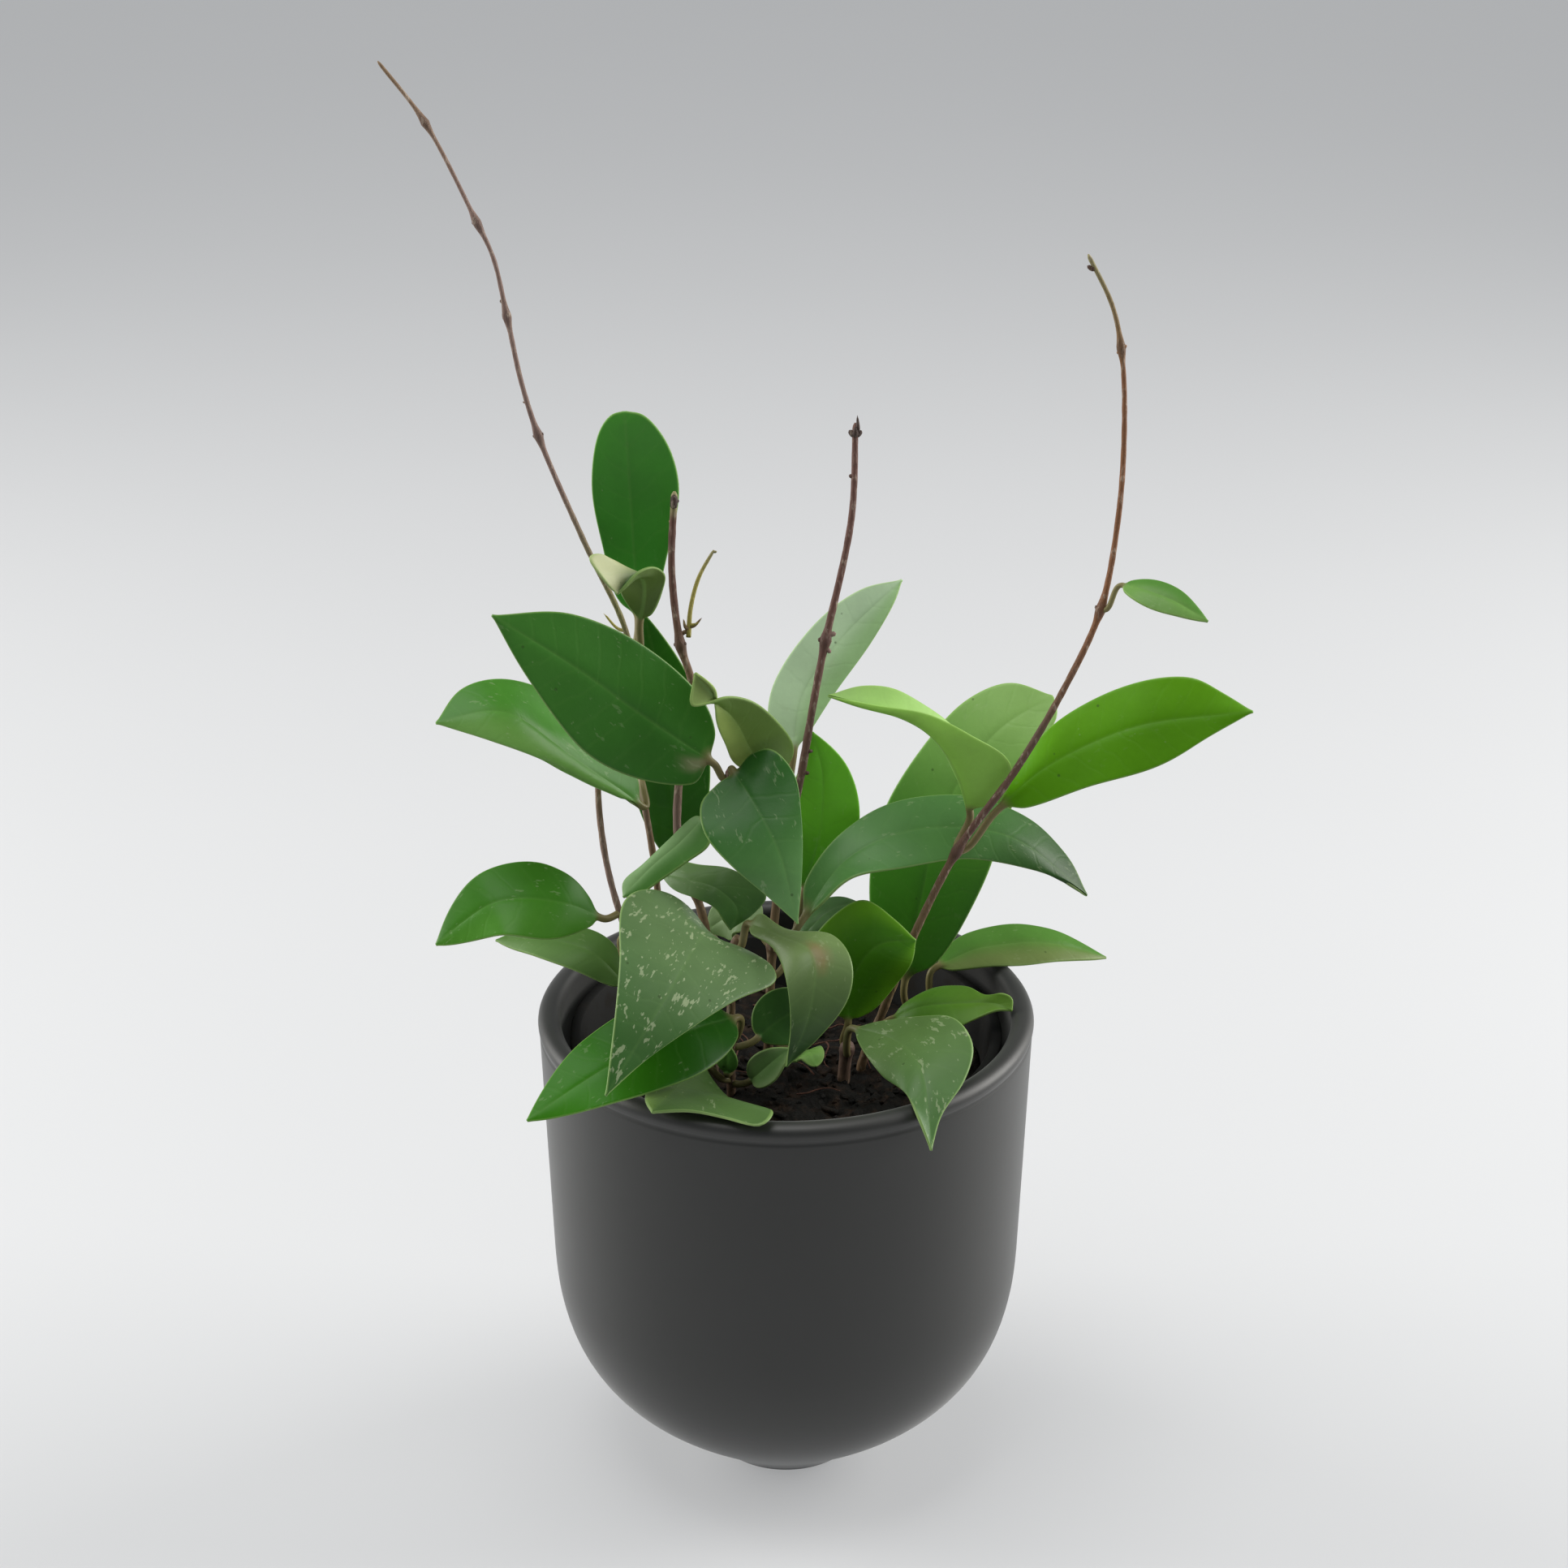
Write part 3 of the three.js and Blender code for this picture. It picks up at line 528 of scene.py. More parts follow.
@dataclass(frozen=True)
class GlazedCeramic:
    """The matte charcoal glaze: a little mottled, with a few pinholes, and painted shade on its foot and
    inside.
    """

    colour: Colour = srgb(24, 25, 22)
    pinhole_colour: Colour = srgb(26, 25, 24)
    foot_shade_colour: Colour = srgb(20, 18, 15)
    foot_height: tuple[float, float] = (2.1, 2.9)
    inner_shade_colour: Colour = srgb(7, 7, 6)
    inner_radius: tuple[float, float] = (61.5, 63.6)
    inner_height: tuple[float, float] = (100, 120)
    roughness: float = 0.44
    foot_roughness: float = 0.3
    inner_roughness: float = 0.4
    gloss: float = 0.68
    sheen: float = 0.3
    sheen_roughness: float = 0.34
    relief: float = 0.12
    relief_strength: float = 0.35
    pinhole_depth: float = 0.15

    def material(self) -> bpy.types.Material:
        """Builds the glaze.

        Returns:
            The glaze.
        """
        shader = Shader("matte_charcoal_glaze")
        place = shader.place()
        mottle = shader.cloud(place, 28, 4)
        grain = shader.cloud(place, 2600, 2)
        pinholes = 1 - shader.cells(place, 62).between(0.02, 0.05)
        colour = shader.shaded(self.colour, 0.85 + 0.25 * mottle + 0.08 * grain)
        colour = shader.blend(pinholes * 0.5, colour, self.pinhole_colour)
        rise = shader.part(place, "Z")
        # Painted shade under the pot: the lowest band of the glaze is darkened, and made rougher.
        foot = 1 - rise.across(self.foot_height)
        colour = shader.blend(foot * 0.9, colour, self.foot_shade_colour)
        # Painted shade inside the pot: the upper inner wall is darkened, and made rougher.
        level = shader.stretched(place, (1, 1, 0))
        away = shader.num("ShaderNodeVectorMath", {"operation": "LENGTH"}, {0: level}, "Value")
        inside = (1 - away.across(self.inner_radius)) * rise.across(self.inner_height)
        colour = shader.blend(inside, colour, self.inner_shade_colour)
        height = grain * 0.12 + mottle * 0.5 - pinholes * self.pinhole_depth
        roughness = self.roughness + 0.08 * mottle + 0.05 * grain
        roughness = roughness + self.foot_roughness * foot + self.inner_roughness * inside
        shader.feed(shader.surface, {
            "Base Color": colour,
            "Roughness": roughness,
            "Normal": shader.bump(height, self.relief, self.relief_strength),
            "Specular IOR Level": self.gloss,
            "Sheen Weight": self.sheen,
            "Sheen Roughness": self.sheen_roughness,
        })
        return shader.material


@dataclass(frozen=True)
class ThinPlastic:
    """The black moulded plastic of the nursery pot, dusty with soil, and darkened further as painted shade
    inside the cover pot.
    """

    # Painted shade: darker than the black plastic alone, for the shade inside the cover pot.
    colour: Colour = srgb(14, 14, 13)
    dust: Colour = srgb(34, 30, 25)
    roughness: float = 0.72
    gloss: float = 0.2
    relief: float = 0.08
    relief_strength: float = 0.4

    def material(self) -> bpy.types.Material:
        """Builds the plastic.

        Returns:
            The plastic.
        """
        shader = Shader("nursery_plastic")
        place = shader.place()
        dust = shader.cloud(place, 160, 5).between(0.5, 0.72)
        shader.feed(shader.surface, {
            "Base Color": shader.blend(dust * 0.6, self.colour, self.dust),
            "Roughness": self.roughness + 0.15 * dust,
            "Specular IOR Level": self.gloss,
            "Normal": shader.bump(shader.cloud(place, 1400, 2), self.relief, self.relief_strength),
        })
        return shader.material


@dataclass(frozen=True)
class DampSoil:
    """Dark damp potting soil, darkened further as painted shade inside the pot: peat, bark and a few pale
    crumbs.
    """

    # Painted shade: darker than damp soil alone, for the shade inside the pot.
    colour: Colour = srgb(12, 10, 6)
    crumb: Colour = srgb(44, 31, 21)
    grey: Colour = srgb(42, 39, 34)
    roughness: float = 0.7
    gloss: float = 0.25
    relief: float = 1.6

    def material(self) -> bpy.types.Material:
        """Builds the soil.

        Returns:
            The soil's material.
        """
        shader = Shader("damp_soil")
        place = shader.place()
        lumps = shader.cloud(place, 240, 6)
        crumbs = shader.cloud(place, 700, 4)
        colour = shader.blend(lumps.between(0.45, 0.7), self.colour, self.crumb)
        colour = shader.blend(crumbs.between(0.62, 0.7) * 0.6, colour, self.grey)
        colour = shader.shaded(colour, 0.5 + shader.cells(place, 420))
        shader.feed(shader.surface, {
            "Base Color": colour,
            "Roughness": self.roughness + 0.25 * lumps,
            "Specular IOR Level": self.gloss,
            "Normal": shader.bump(lumps * 0.6 + crumbs * 0.4, self.relief),
        })
        return shader.material


@dataclass(frozen=True)
class Bark:
    """A stem's skin: its own colour along its length, paler streaks and dark corky nodes."""

    name: str
    node_colour: Colour
    fleck_colour: Colour
    roughness: float = 0.55
    node_share: float = 0.45
    fleck_share: float = 0.6
    relief: float = 0.35

    def material(self) -> bpy.types.Material:
        """Builds the bark.

        Returns:
            The bark.
        """
        shader = Shader(self.name)
        place = shader.place()
        streaks = shader.cloud(shader.stretched(place, (1, 1, 0.16)), 2100, 4)
        patches = shader.cloud(place, 160, 3)
        flecks = shader.cloud(shader.stretched(place, (1, 1, 0.3)), 900, 4).between(0.52, 0.66)
        colour = shader.shaded(shader.painted("tint"), 0.6 + 0.5 * streaks + 0.4 * patches)
        colour = shader.blend(shader.marked("knot") * self.node_share, colour, self.node_colour)
        share = flecks * patches.between(0.38, 0.6) * self.fleck_share
        colour = shader.blend(share, colour, self.fleck_colour)
        shader.feed(shader.surface, {
            "Base Color": colour,
            "Roughness": self.roughness + 0.25 * streaks,
            "Normal": shader.bump(streaks * 0.7 + flecks * 0.3, self.relief),
        })
        return shader.material


@dataclass(frozen=True)
class LeafSkin:
    """A leaf's thick skin: its painted tint, grey wax with painted sheen, veins, a pale rim with a painted
    highlight, and flecks.
    """

    name: str
    wax_and_sheen_colour: Colour = srgb(128, 154, 108)
    rim_colour: Colour = srgb(150, 182, 104)
    vein_colour: Colour = srgb(120, 158, 84)
    fleck_colour: Colour = srgb(178, 190, 152)
    spot_colour: Colour = srgb(42, 62, 24)
    vein_share: float = 0.045
    rib_share: float = 0.08
    under_rib_share: float = 0.3
    fleck_share: float = 0.46
    dot_share: float = 0.3
    spot_share: float = 0.55
    rim_share: float = 0.38
    rim_width: tuple[float, float] = (0.08, 0.42)
    rib_width: tuple[float, float] = (0.15, 0.7)
    roughness: float = 0.4
    gloss: float = 0.25
    coat: float = 0.1
    coat_roughness: float = 0.32
    relief: float = 0.22
    relief_strength: float = 0.6

    def material(self) -> bpy.types.Material:
        """Builds the leaf's skin.

        Returns:
            The skin.
        """
        shader = Shader(self.name)
        place = shader.place()
        attribute = {"attribute_name": "spot"}
        on_blade = shader.node("ShaderNodeAttribute", attribute, {}).outputs["Vector"]
        upper = 1 - shader.marked("under")
        blade = 1 - shader.marked("stalk")
        rim = (1 - shader.marked("rim").between(*self.rim_width)) * blade
        rib = (1 - shader.marked("rib").between(*self.rib_width)) * blade
        bloom = shader.marked("bloom")
        specks = shader.marked("specks")

        broad = shader.cloud(place, 48, 3)
        fine = shader.cloud(place, 620, 3)
        grain = shader.cloud(place, 3200, 2)
        colour = shader.shaded(shader.painted("tint"), 0.74 + 0.42 * broad + 0.12 * fine)

        veins = shader.marked("vein") + 0.9 * shader.cloud(place, 75, 2)
        veins = 1 - veins.ping_pong(0.5).between(0.0, 0.12)
        veins = veins * blade * (0.3 + 0.7 * broad)
        colour = shader.blend(veins * self.vein_share, colour, self.vein_colour)
        rib_share = self.rib_share + self.under_rib_share * (1 - upper)
        colour = shader.blend(rib * rib_share, colour, self.vein_colour)

        # Grey wax on the upper side, which also paints the pale sheen of reflected light.
        haze = bloom * (0.25 + 0.75 * shader.cloud(place, 95, 4)) * upper
        colour = shader.blend(haze, colour, self.wax_and_sheen_colour)

        dashes = shader.cloud(shader.stretched(on_blade, (0.45, 1.1, 1)), 0.95, 2)
        areas = shader.cloud(on_blade, 0.16, 2)
        flecks = (dashes + 0.7 * areas + 0.1 * specks).between(1.07, 1.14) * specks * upper
        dots = 1 - shader.cells(on_blade, 0.22).between(0.03, 0.07)
        flecks = flecks + dots * self.dot_share * blade * upper
        colour = shader.blend(flecks * self.fleck_share, colour, self.fleck_colour)
        spots = 1 - shader.cells(place, 130).between(0.035, 0.07)
        colour = shader.blend(spots * self.spot_share, colour, self.spot_colour)
        # Pale rim along the margins, which also paints the bright rim highlight.
        colour = shader.blend(rim * self.rim_share, colour, self.rim_colour)

        height = fine * 0.25 + grain * 0.06 - veins * 0.25 + flecks * 0.2 + broad * 0.8
        shader.feed(shader.surface, {
            "Base Color": colour,
            "Roughness": self.roughness + 0.16 * haze + 0.08 * fine + 0.1 * (1 - upper),
            "Normal": shader.bump(height, self.relief, self.relief_strength),
            "Specular IOR Level": self.gloss,
            "Coat Weight": self.coat,
            "Coat Roughness": self.coat_roughness,
        })
        return shader.material


@dataclass(frozen=True)
class PlainFloor:
    """The pale table top."""

    colour: Colour = srgb(160, 161, 163)
    glow: Colour = (0.98, 0.99, 1.0, 1)
    glow_strength: float = 0.34
    front_share: float = 0.7
    front: tuple[float, float] = (-0.4, 0.1)
    roughness: float = 0.7
    gloss: float = 0.2

    def material(self) -> bpy.types.Material:
        """Builds the floor, whose glow is painted light like that of a lit table: it keeps shadows pale and
        is dimmed towards the front as painted shade.

        Returns:
            The floor's material.
        """
        shader = Shader("pale_floor")
        place = shader.place()
        shade = 0.97 + 0.05 * shader.cloud(place, 3, 2)
        # Painted shade: the glow, itself painted light, is dimmed towards the front, so the floor is darker
        # there.
        depth = shader.part(place, "Y").between(*self.front)
        near = self.front_share + (1 - self.front_share) * depth
        shader.feed(shader.surface, {
            "Base Color": shader.shaded(self.colour, shade),
            "Roughness": self.roughness,
            "Specular IOR Level": self.gloss,
            "Emission Color": shader.shaded(self.glow, near),
            "Emission Strength": self.glow_strength,
        })
        return shader.material


@dataclass
class CoverPot:
    """The round-bottomed ceramic pot, with a low round lip over a faint groove."""

    height: float = 140
    lip_radius: float = 65
    lip_half_width: float = 3.1
    lip_half_height: float = 2.6
    lip_start: float = math.radians(-20)
    wall_top_radius: float = 67.7
    shoulder: tuple[float, float] = (65.6, 66)
    foot: tuple[float, float] = (23.5, 2.5)
    foot_round: float = 0.8
    groove_depth: float = 0.3
    groove_height: float = 2.6
    wall_handle: float = 39
    foot_handle: float = 27.8
    foot_angle: float = math.radians(43)
    wall: float = 5.4
    foot_steps: int = 6
    bowl_steps: int = 26
    wall_steps: int = 12
    groove_steps: int = 10
    lip_steps: int = 18
    steps: int = 168
    finish: GlazedCeramic = GlazedCeramic()

    def outer_wall(self) -> list[Vector]:
        """Points of the outer wall from the foot's edge up to the groove.

        Returns:
            The points, each with its radius as x and its height as y.
        """
        foot, shoulder = Vector((*self.foot, 0)), Vector((*self.shoulder, 0))
        top = Vector((self.wall_top_radius, self.lip()[0][1] - self.groove_height, 0))
        down = (shoulder - top).normalized()
        rise = Vector((math.cos(self.foot_angle), math.sin(self.foot_angle), 0))
        leave, arrive = foot + rise * self.foot_handle, shoulder + down * self.wall_handle
        bowl = Course.bow(foot, leave, arrive, shoulder)
        points = [bowl.at(i / self.bowl_steps) for i in range(self.bowl_steps)]
        points += [shoulder.lerp(top, i / self.wall_steps) for i in range(self.wall_steps + 1)]
        return points

    def lip(self) -> list[tuple[float, float]]:
        """Points of the round lip, from its outer underside over the top to its inner side.

        Returns:
            The radius and height of each point.
        """
        points = []
        for i in range(self.lip_steps + 1):
            angle = self.lip_start + (math.pi - self.lip_start) * i / self.lip_steps
            points.append((
                self.lip_radius + self.lip_half_width * math.cos(angle),
                self.height - self.lip_half_height + self.lip_half_height * math.sin(angle),
            ))
        return points

    def foot_edge(self) -> list[tuple[float, float]]:
        """Points of the round between the flat foot and its bevel, which runs on into the bowl.

        Returns:
            The radius and height of each point.
        """
        drop = self.foot[1] - self.foot_round * (1 - math.cos(self.foot_angle))
        bevel = drop / math.tan(self.foot_angle)
        flat = self.foot[0] - bevel - self.foot_round * math.sin(self.foot_angle)
        angles = [self.foot_angle * i / self.foot_steps for i in range(self.foot_steps + 1)]
        return [
            (flat + self.foot_round * math.sin(angle), self.foot_round * (1 - math.cos(angle)))
            for angle in angles
        ]

    def section(self) -> list[tuple[float, float]]:
        """The pot's section from the middle of the foot round to the middle of the floor inside.

        Returns:
            The radius and height of each point.
        """
        outer = self.outer_wall()
        inner = []
        for before, point, after in zip([outer[0], *outer], outer, [*outer[1:], outer[-1]]):
            along = (after - before).normalized()
            inner.append((point.x - along.y * self.wall, point.y + along.x * self.wall))
        lip = self.lip()
        top = outer[-1]
        groove = []
        for i in range(1, self.groove_steps):
            share = i / self.groove_steps
            dip = self.groove_depth * math.sin(math.pi * share) ** 2
            reach = top.x + (lip[0][0] - top.x) * share
            groove.append((reach - dip, top.y + (lip[0][1] - top.y) * share))
        floor_height = inner[0][1]
        return [
            (0, 0),
            *self.foot_edge(),
            *((p.x, p.y) for p in outer),
            *groove,
            *lip,
            *reversed(inner[1:]),
            (self.foot[0] - self.wall, floor_height),
            (0, floor_height),
        ]

    def build(self) -> None:
        """Turns and dresses the pot."""
        pot = turned("glazed_pot", self.section(), self.steps)
        hand_over(pot, self.finish.material(), "pot_ceramic", "pot")


@dataclass
class NurseryPot:
    """The thin black pot that stands inside the ceramic one, with a thicker rim."""

    rim_radius: float = 59.5
    rim_height: float = 133
    rim_depth: float = 4
    base_height: float = 25
    base_radius: float = field(init=False)
    wall: float = 1.4
    lip: float = 1.6
    edge: float = 0.4
    steps: int = 128
    finish: ThinPlastic = ThinPlastic()

    def __post_init__(self) -> None:
        """Takes the base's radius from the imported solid, which fits the ceramic pot."""
        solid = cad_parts["grow_pot"]
        low = [v.co for v in solid.data.vertices if v.co.z < (self.base_height + 0.1) * MM]
        self.base_radius = max(math.hypot(p.x, p.y) for p in low) / MM

    def inner_radius(self, height: float) -> float:
        """The inner radius at a height."""
        share = (height - self.base_height) / (self.rim_height - self.base_height)
        return self.base_radius + (self.rim_radius - self.lip - self.base_radius) * share - self.wall

    def build(self) -> None:
        """Turns and dresses the pot."""
        rim_bottom = self.rim_height - self.rim_depth
        edge = self.edge
        section = [
            (0, self.base_height),
            (self.base_radius - edge, self.base_height),
            (self.base_radius, self.base_height + edge),
            (self.inner_radius(rim_bottom) + self.wall, rim_bottom),
            (self.rim_radius - edge, rim_bottom),
            (self.rim_radius, rim_bottom + edge),
            (self.rim_radius, self.rim_height - edge),
            (self.rim_radius - edge, self.rim_height),
            (self.inner_radius(self.rim_height) + edge, self.rim_height),
            (self.inner_radius(self.rim_height - edge), self.rim_height - edge),
            (self.inner_radius(self.base_height), self.base_height + self.wall),
            (0, self.base_height + self.wall),
        ]
        pot = turned("thin_nursery_pot", section, self.steps)
        hand_over(pot, self.finish.material(), "grow_pot_plastic", "grow_pot")


@dataclass
class SoilBed:
    """The soil in the nursery pot: a lumpy damp bed strewn with bark chips, grit and old roots."""

    level: float = 119
    lump: float = 1.3
    broad_lump: float = 0.8
    wave: float = 0.29
    broad_wave: float = 0.16
    crumble: float = 1.1
    crumble_scale: float = 0.35
    crumble_detail: tuple[float, float, int] = (0.6, 2.2, 4)
    edge_depth: float = 4
    bottom: float = 26.7
    sides: int = 120
    rings: int = 40
    chips: int = 260
    chip_size: Triple = (2.6, 1.5, 0.7)
    chip_scales: tuple[float, float] = (0.6, 1.9)
    chip_edge: float = 0.2
    chip_wear: float = 0.5
    chip_margin: float = 2.5
    grains: int = 320
    grain_scales: tuple[float, float] = (0.5, 1.2)
    grain_wear: float = 0.6
    grain_wear_scale: float = 1.7
    grain_margin: float = 1.5
    strewn_tip: float = 0.5
    strewn_lift: float = 0.15
    roots: int = 26
    root_radii: tuple[float, float] = (0.28, 0.13)
    root_stride: float = 3.2
    root_corners: int = 5
    root_share: float = 0.85
    root_lift: float = 0.6
    root_swerve: float = 0.8
    root_sides: int = 6
    root_step: float = 1.2
    finish: DampSoil = DampSoil()

    def top(self, x: float, y: float) -> float:
        """The height of the bed at a point.

        Args:
            x: How far right of the middle it lies.
            y: How far behind the middle it lies.

        Returns:
            The height, without the crumbs.
        """
        small = math.sin(x * self.wave + 1) * math.cos(y * self.wave)
        broad = math.sin((x - y) * self.broad_wave)
        return self.level + self.lump * small + self.broad_lump * broad

    def bed(self, rim: float, base: float) -> bpy.types.Object:
        """Builds the closed bed.

        Args:
            rim: Its radius at the top.
            base: Its radius at the bottom.

        Returns:
            The bed, without a finish.
        """
        def ring(radius: float, height: float | None) -> list[Vector]:
            """One ring of the bed, level at a height, or with none laid on its lumpy top.

            Args:
                radius: The ring's radius.
                height: Its height.

            Returns:
                Its points.
            """
            points = []
            for j in range(self.sides):
                angle = j / self.sides * math.tau
                x, y = radius * math.cos(angle), radius * math.sin(angle)
                place = Vector((x, y, 0)) * self.crumble_scale
                crumbs = self.crumble * noise.fractal(place, *self.crumble_detail)
                points.append(Vector((x, y, self.top(x, y) + crumbs if height is None else height)))
            return points

        rings = [ring(0.2, self.bottom), ring(base, self.bottom)]
        rings += [ring(rim, self.level - self.edge_depth)]
        rings += [ring(rim * (1 - i / self.rings) + 0.1, None) for i in range(self.rings + 1)]
        bed = tube("soil_bed", rings)
        close_tube()
        return bed

    def strewn(
        self,
        name: str,
        model: bpy.types.Object,
        count: int,
        sizes: tuple[float, float],
        draw: random.Random,
        reach: float,
    ) -> bpy.types.Object:
        """Strews copies of one model over the bed.

        Args:
            name: Name of the joined piece.
            model: The chip or grain, a few millimetres of mesh round its own middle.
            count: How many copies lie on the bed.
            sizes: Smallest and largest scale.
            draw: The source of random numbers.
            reach: How far from the middle they lie.

        Returns:
            One piece that holds them all.
        """
        copies = []
        for _ in range(count):
            away = reach * math.sqrt(draw.random())
            angle = draw.random() * math.tau
            x, y = away * math.cos(angle), away * math.sin(angle)
            size = draw.uniform(*sizes)
            turn = Matrix.Rotation(draw.random() * math.tau, 4, "Z")
            tip = Matrix.Rotation(draw.uniform(-self.strewn_tip, self.strewn_tip), 4, "X")
            spot = Matrix.Translation(Vector((x, y, self.top(x, y) + self.strewn_lift * size)) * MM)
            copy = model.copy()
            copy.data = model.data.copy()
            copy.data.transform(spot @ turn @ tip @ Matrix.Diagonal((size, size, size, 1)))
            bpy.context.collection.objects.link(copy)
            copies.append(copy)
        bpy.data.objects.remove(model)
        deselect_all()
        for copy in copies:
            copy.select_set(True)
        bpy.context.view_layer.objects.active = copies[0]
        bpy.ops.object.join()
        piece = bpy.context.object
        piece.name = piece.data.name = name
        return piece

    def chip(self) -> bpy.types.Object:
        """One bark chip: a flat block with worn edges.

        Returns:
            The chip, round its own middle.
        """
        deselect_all()
        bpy.ops.mesh.primitive_cube_add(size=1)
        chip = bpy.context.object
        chip.data.transform(Matrix.Diagonal((*(side * MM for side in self.chip_size), 1)))
        for vertex in chip.data.vertices:
            vertex.co *= 1 + self.chip_wear * noise.noise(vertex.co / MM)
        bevel = chip.modifiers.new("worn_edge", "BEVEL")
        bevel.width = self.chip_edge * MM
        bevel.segments = 1
        apply_modifiers(chip)
        return chip

    def grain(self) -> bpy.types.Object:
        """One crumb of peat.

        Returns:
            The crumb, round its own middle.
        """
        deselect_all()
        bpy.ops.mesh.primitive_ico_sphere_add(subdivisions=1, radius=MM)
        grain = bpy.context.object
        for vertex in grain.data.vertices:
            vertex.co *= 1 + self.grain_wear * noise.noise(vertex.co * self.grain_wear_scale / MM)
        return grain

    def root_threads(self, draw: random.Random, reach: float) -> bpy.types.Object:
        """Thin old roots that lie on the bed.

        Args:
            draw: The source of random numbers.
            reach: How far from the middle they lie.

        Returns:
            One piece that holds them all.
        """
        def thickness(share: float) -> float:
            """A thread's radius at a share of its length."""
            foot, tip = self.root_radii
            return foot + (tip - foot) * share

        threads = []
        for _ in range(self.roots):
            angle = draw.random() * math.tau
            away = reach * math.sqrt(draw.random()) * self.root_share
            x, y = away * math.cos(angle), away * math.sin(angle)
            heading = draw.random() * math.tau
            corners = []
            for _step in range(self.root_corners):
                corners.append((x, y, self.top(x, y) + self.root_lift + draw.random()))
                heading += draw.uniform(-self.root_swerve, self.root_swerve)
                x += self.root_stride * math.cos(heading)
                y += self.root_stride * math.sin(heading)
            course = Course.through(tuple(corners))
            threads.append(rod("root_thread", course, thickness, self.root_sides, self.root_step))
        return joined("root_threads", threads)

    def build(self) -> None:
        """Builds and dresses the bed and what lies on it."""
        draw = random.Random(SEED)
        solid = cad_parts["soil"]
        rim = max(math.hypot(v.co.x, v.co.y) for v in solid.data.vertices) / MM
        low = [v.co for v in solid.data.vertices if v.co.z < (self.bottom + 1) * MM]
        base = max(math.hypot(p.x, p.y) for p in low) / MM
        soil = self.finish.material()
        hand_over(self.bed(rim, base), soil, "potting_soil", "soil")
        chips = self.strewn(
            "bark_chips", self.chip(), self.chips, self.chip_scales, draw, rim - self.chip_margin
        )
        hand_over(chips, soil, "potting_soil")
        grains = self.strewn(
            "peat_grains", self.grain(), self.grains, self.grain_scales, draw, rim - self.grain_margin
        )
        hand_over(grains, soil, "potting_soil")
        threads = self.root_threads(draw, rim)
        paint_plain(threads, srgb(86, 52, 38))
        hand_over(threads, ROOT_SKIN.material(), "potting_soil")


def rod(
    name: str, course: Course, radius: Callable[[float], float], sides: int, step: float
) -> bpy.types.Object:
    """A closed round rod along a course.

    Args:
        name: The piece's name.
        course: The line it follows.
        radius: Its radius at each share of the length.
        sides: How many faces lie round it.
        step: Length between two rings.

    Returns:
        The rod, active, with its seam closed.
    """
    count = max(4, round(course.length / step))
    rings = []
    side = Vector((1, 0, 0))
    for i in range(count + 1):
        share = i / count
        tangent = course.tangent(share)
        side = across_of(side, tangent)
        other = tangent.cross(side)
        reach = radius(share)
        angles = [j / sides * math.tau for j in range(sides)]
        rings.append([
            course.at(share) + (side * math.cos(angle) + other * math.sin(angle)) * reach
            for angle in angles
        ])
    piece = tube(name, rings)
    reached = [i / count * course.length for i in range(count + 1)]
    mark(piece, "along", [length for length in reached for _ in range(sides + 1)])
    close_tube()
    return piece


def joined(name: str, pieces: list[bpy.types.Object]) -> bpy.types.Object:
    """Joins pieces into one.

    Args:
        name: The name of the whole.
        pieces: What is joined, each with its place in its mesh.

    Returns:
        The whole, active.
    """
    deselect_all()
    for piece in pieces:
        piece.select_set(True)
    bpy.context.view_layer.objects.active = pieces[0]
    if len(pieces) > 1:
        bpy.ops.object.join()
    whole = bpy.context.object
    whole.name = whole.data.name = name
    return whole


def paint_plain(piece: bpy.types.Object, colour: Colour, knot: float = 0.0) -> None:
    """Gives a stem-like piece one tint, and one knot value, all over.

    Args:
        piece: The piece.
        colour: Its tint.
        knot: How corky it is, from 0 to 1.
    """
    count = len(piece.data.vertices)
    tint = piece.data.attributes.new("tint", "FLOAT_COLOR", "POINT")
    tint.data.foreach_set("color", [*colour] * count)
    mark(piece, "knot", [knot] * count)


BARK = Bark("wiry_bark", srgb(66, 44, 36), srgb(176, 160, 142))
YOUNG_BARK = Bark("young_bark", srgb(96, 78, 38), srgb(190, 186, 120), 0.42)
ROOT_SKIN = Bark("old_root", srgb(60, 38, 28), srgb(120, 90, 70), 0.7)


@dataclass(frozen=True)
class Twig:
    """Something small that grows from a stem: a bud, a nub of an air root or a bract.

    Attributes:
        at: The share of the stem's length where it grows.
        turn: Degrees round the stem, from the right and over the front.
        rise: Degrees that it leans towards the stem's tip.
        length: Its length.
        radii: Its radius at its foot and at its tip.
        colour: Its colour.
    """

    at: float
    turn: float
    rise: float
    length: float
    radii: tuple[float, float]
    colour: Colour = srgb(74, 50, 38)


@dataclass(frozen=True)
class StemLine:
    """One stem.

    Attributes:
        name: Its name in the part.
        points: The points it climbs through.
        radius: Its radius at the foot and at the end.
        nodes: Shares of its length where it swells.
        tones: Its colours, in even steps from foot to end.
        twigs: What grows from it besides leaves.
        young: Whether its skin is still green.
        cut: The colour of its last few millimetres, where it was cut off.
    """

    name: str
    points: tuple[Triple, ...]
    radius: tuple[float, float]
    nodes: tuple[float, ...]
    tones: tuple[Colour, ...]
    twigs: tuple[Twig, ...] = ()
    young: bool = False
    cut: Colour | None = None


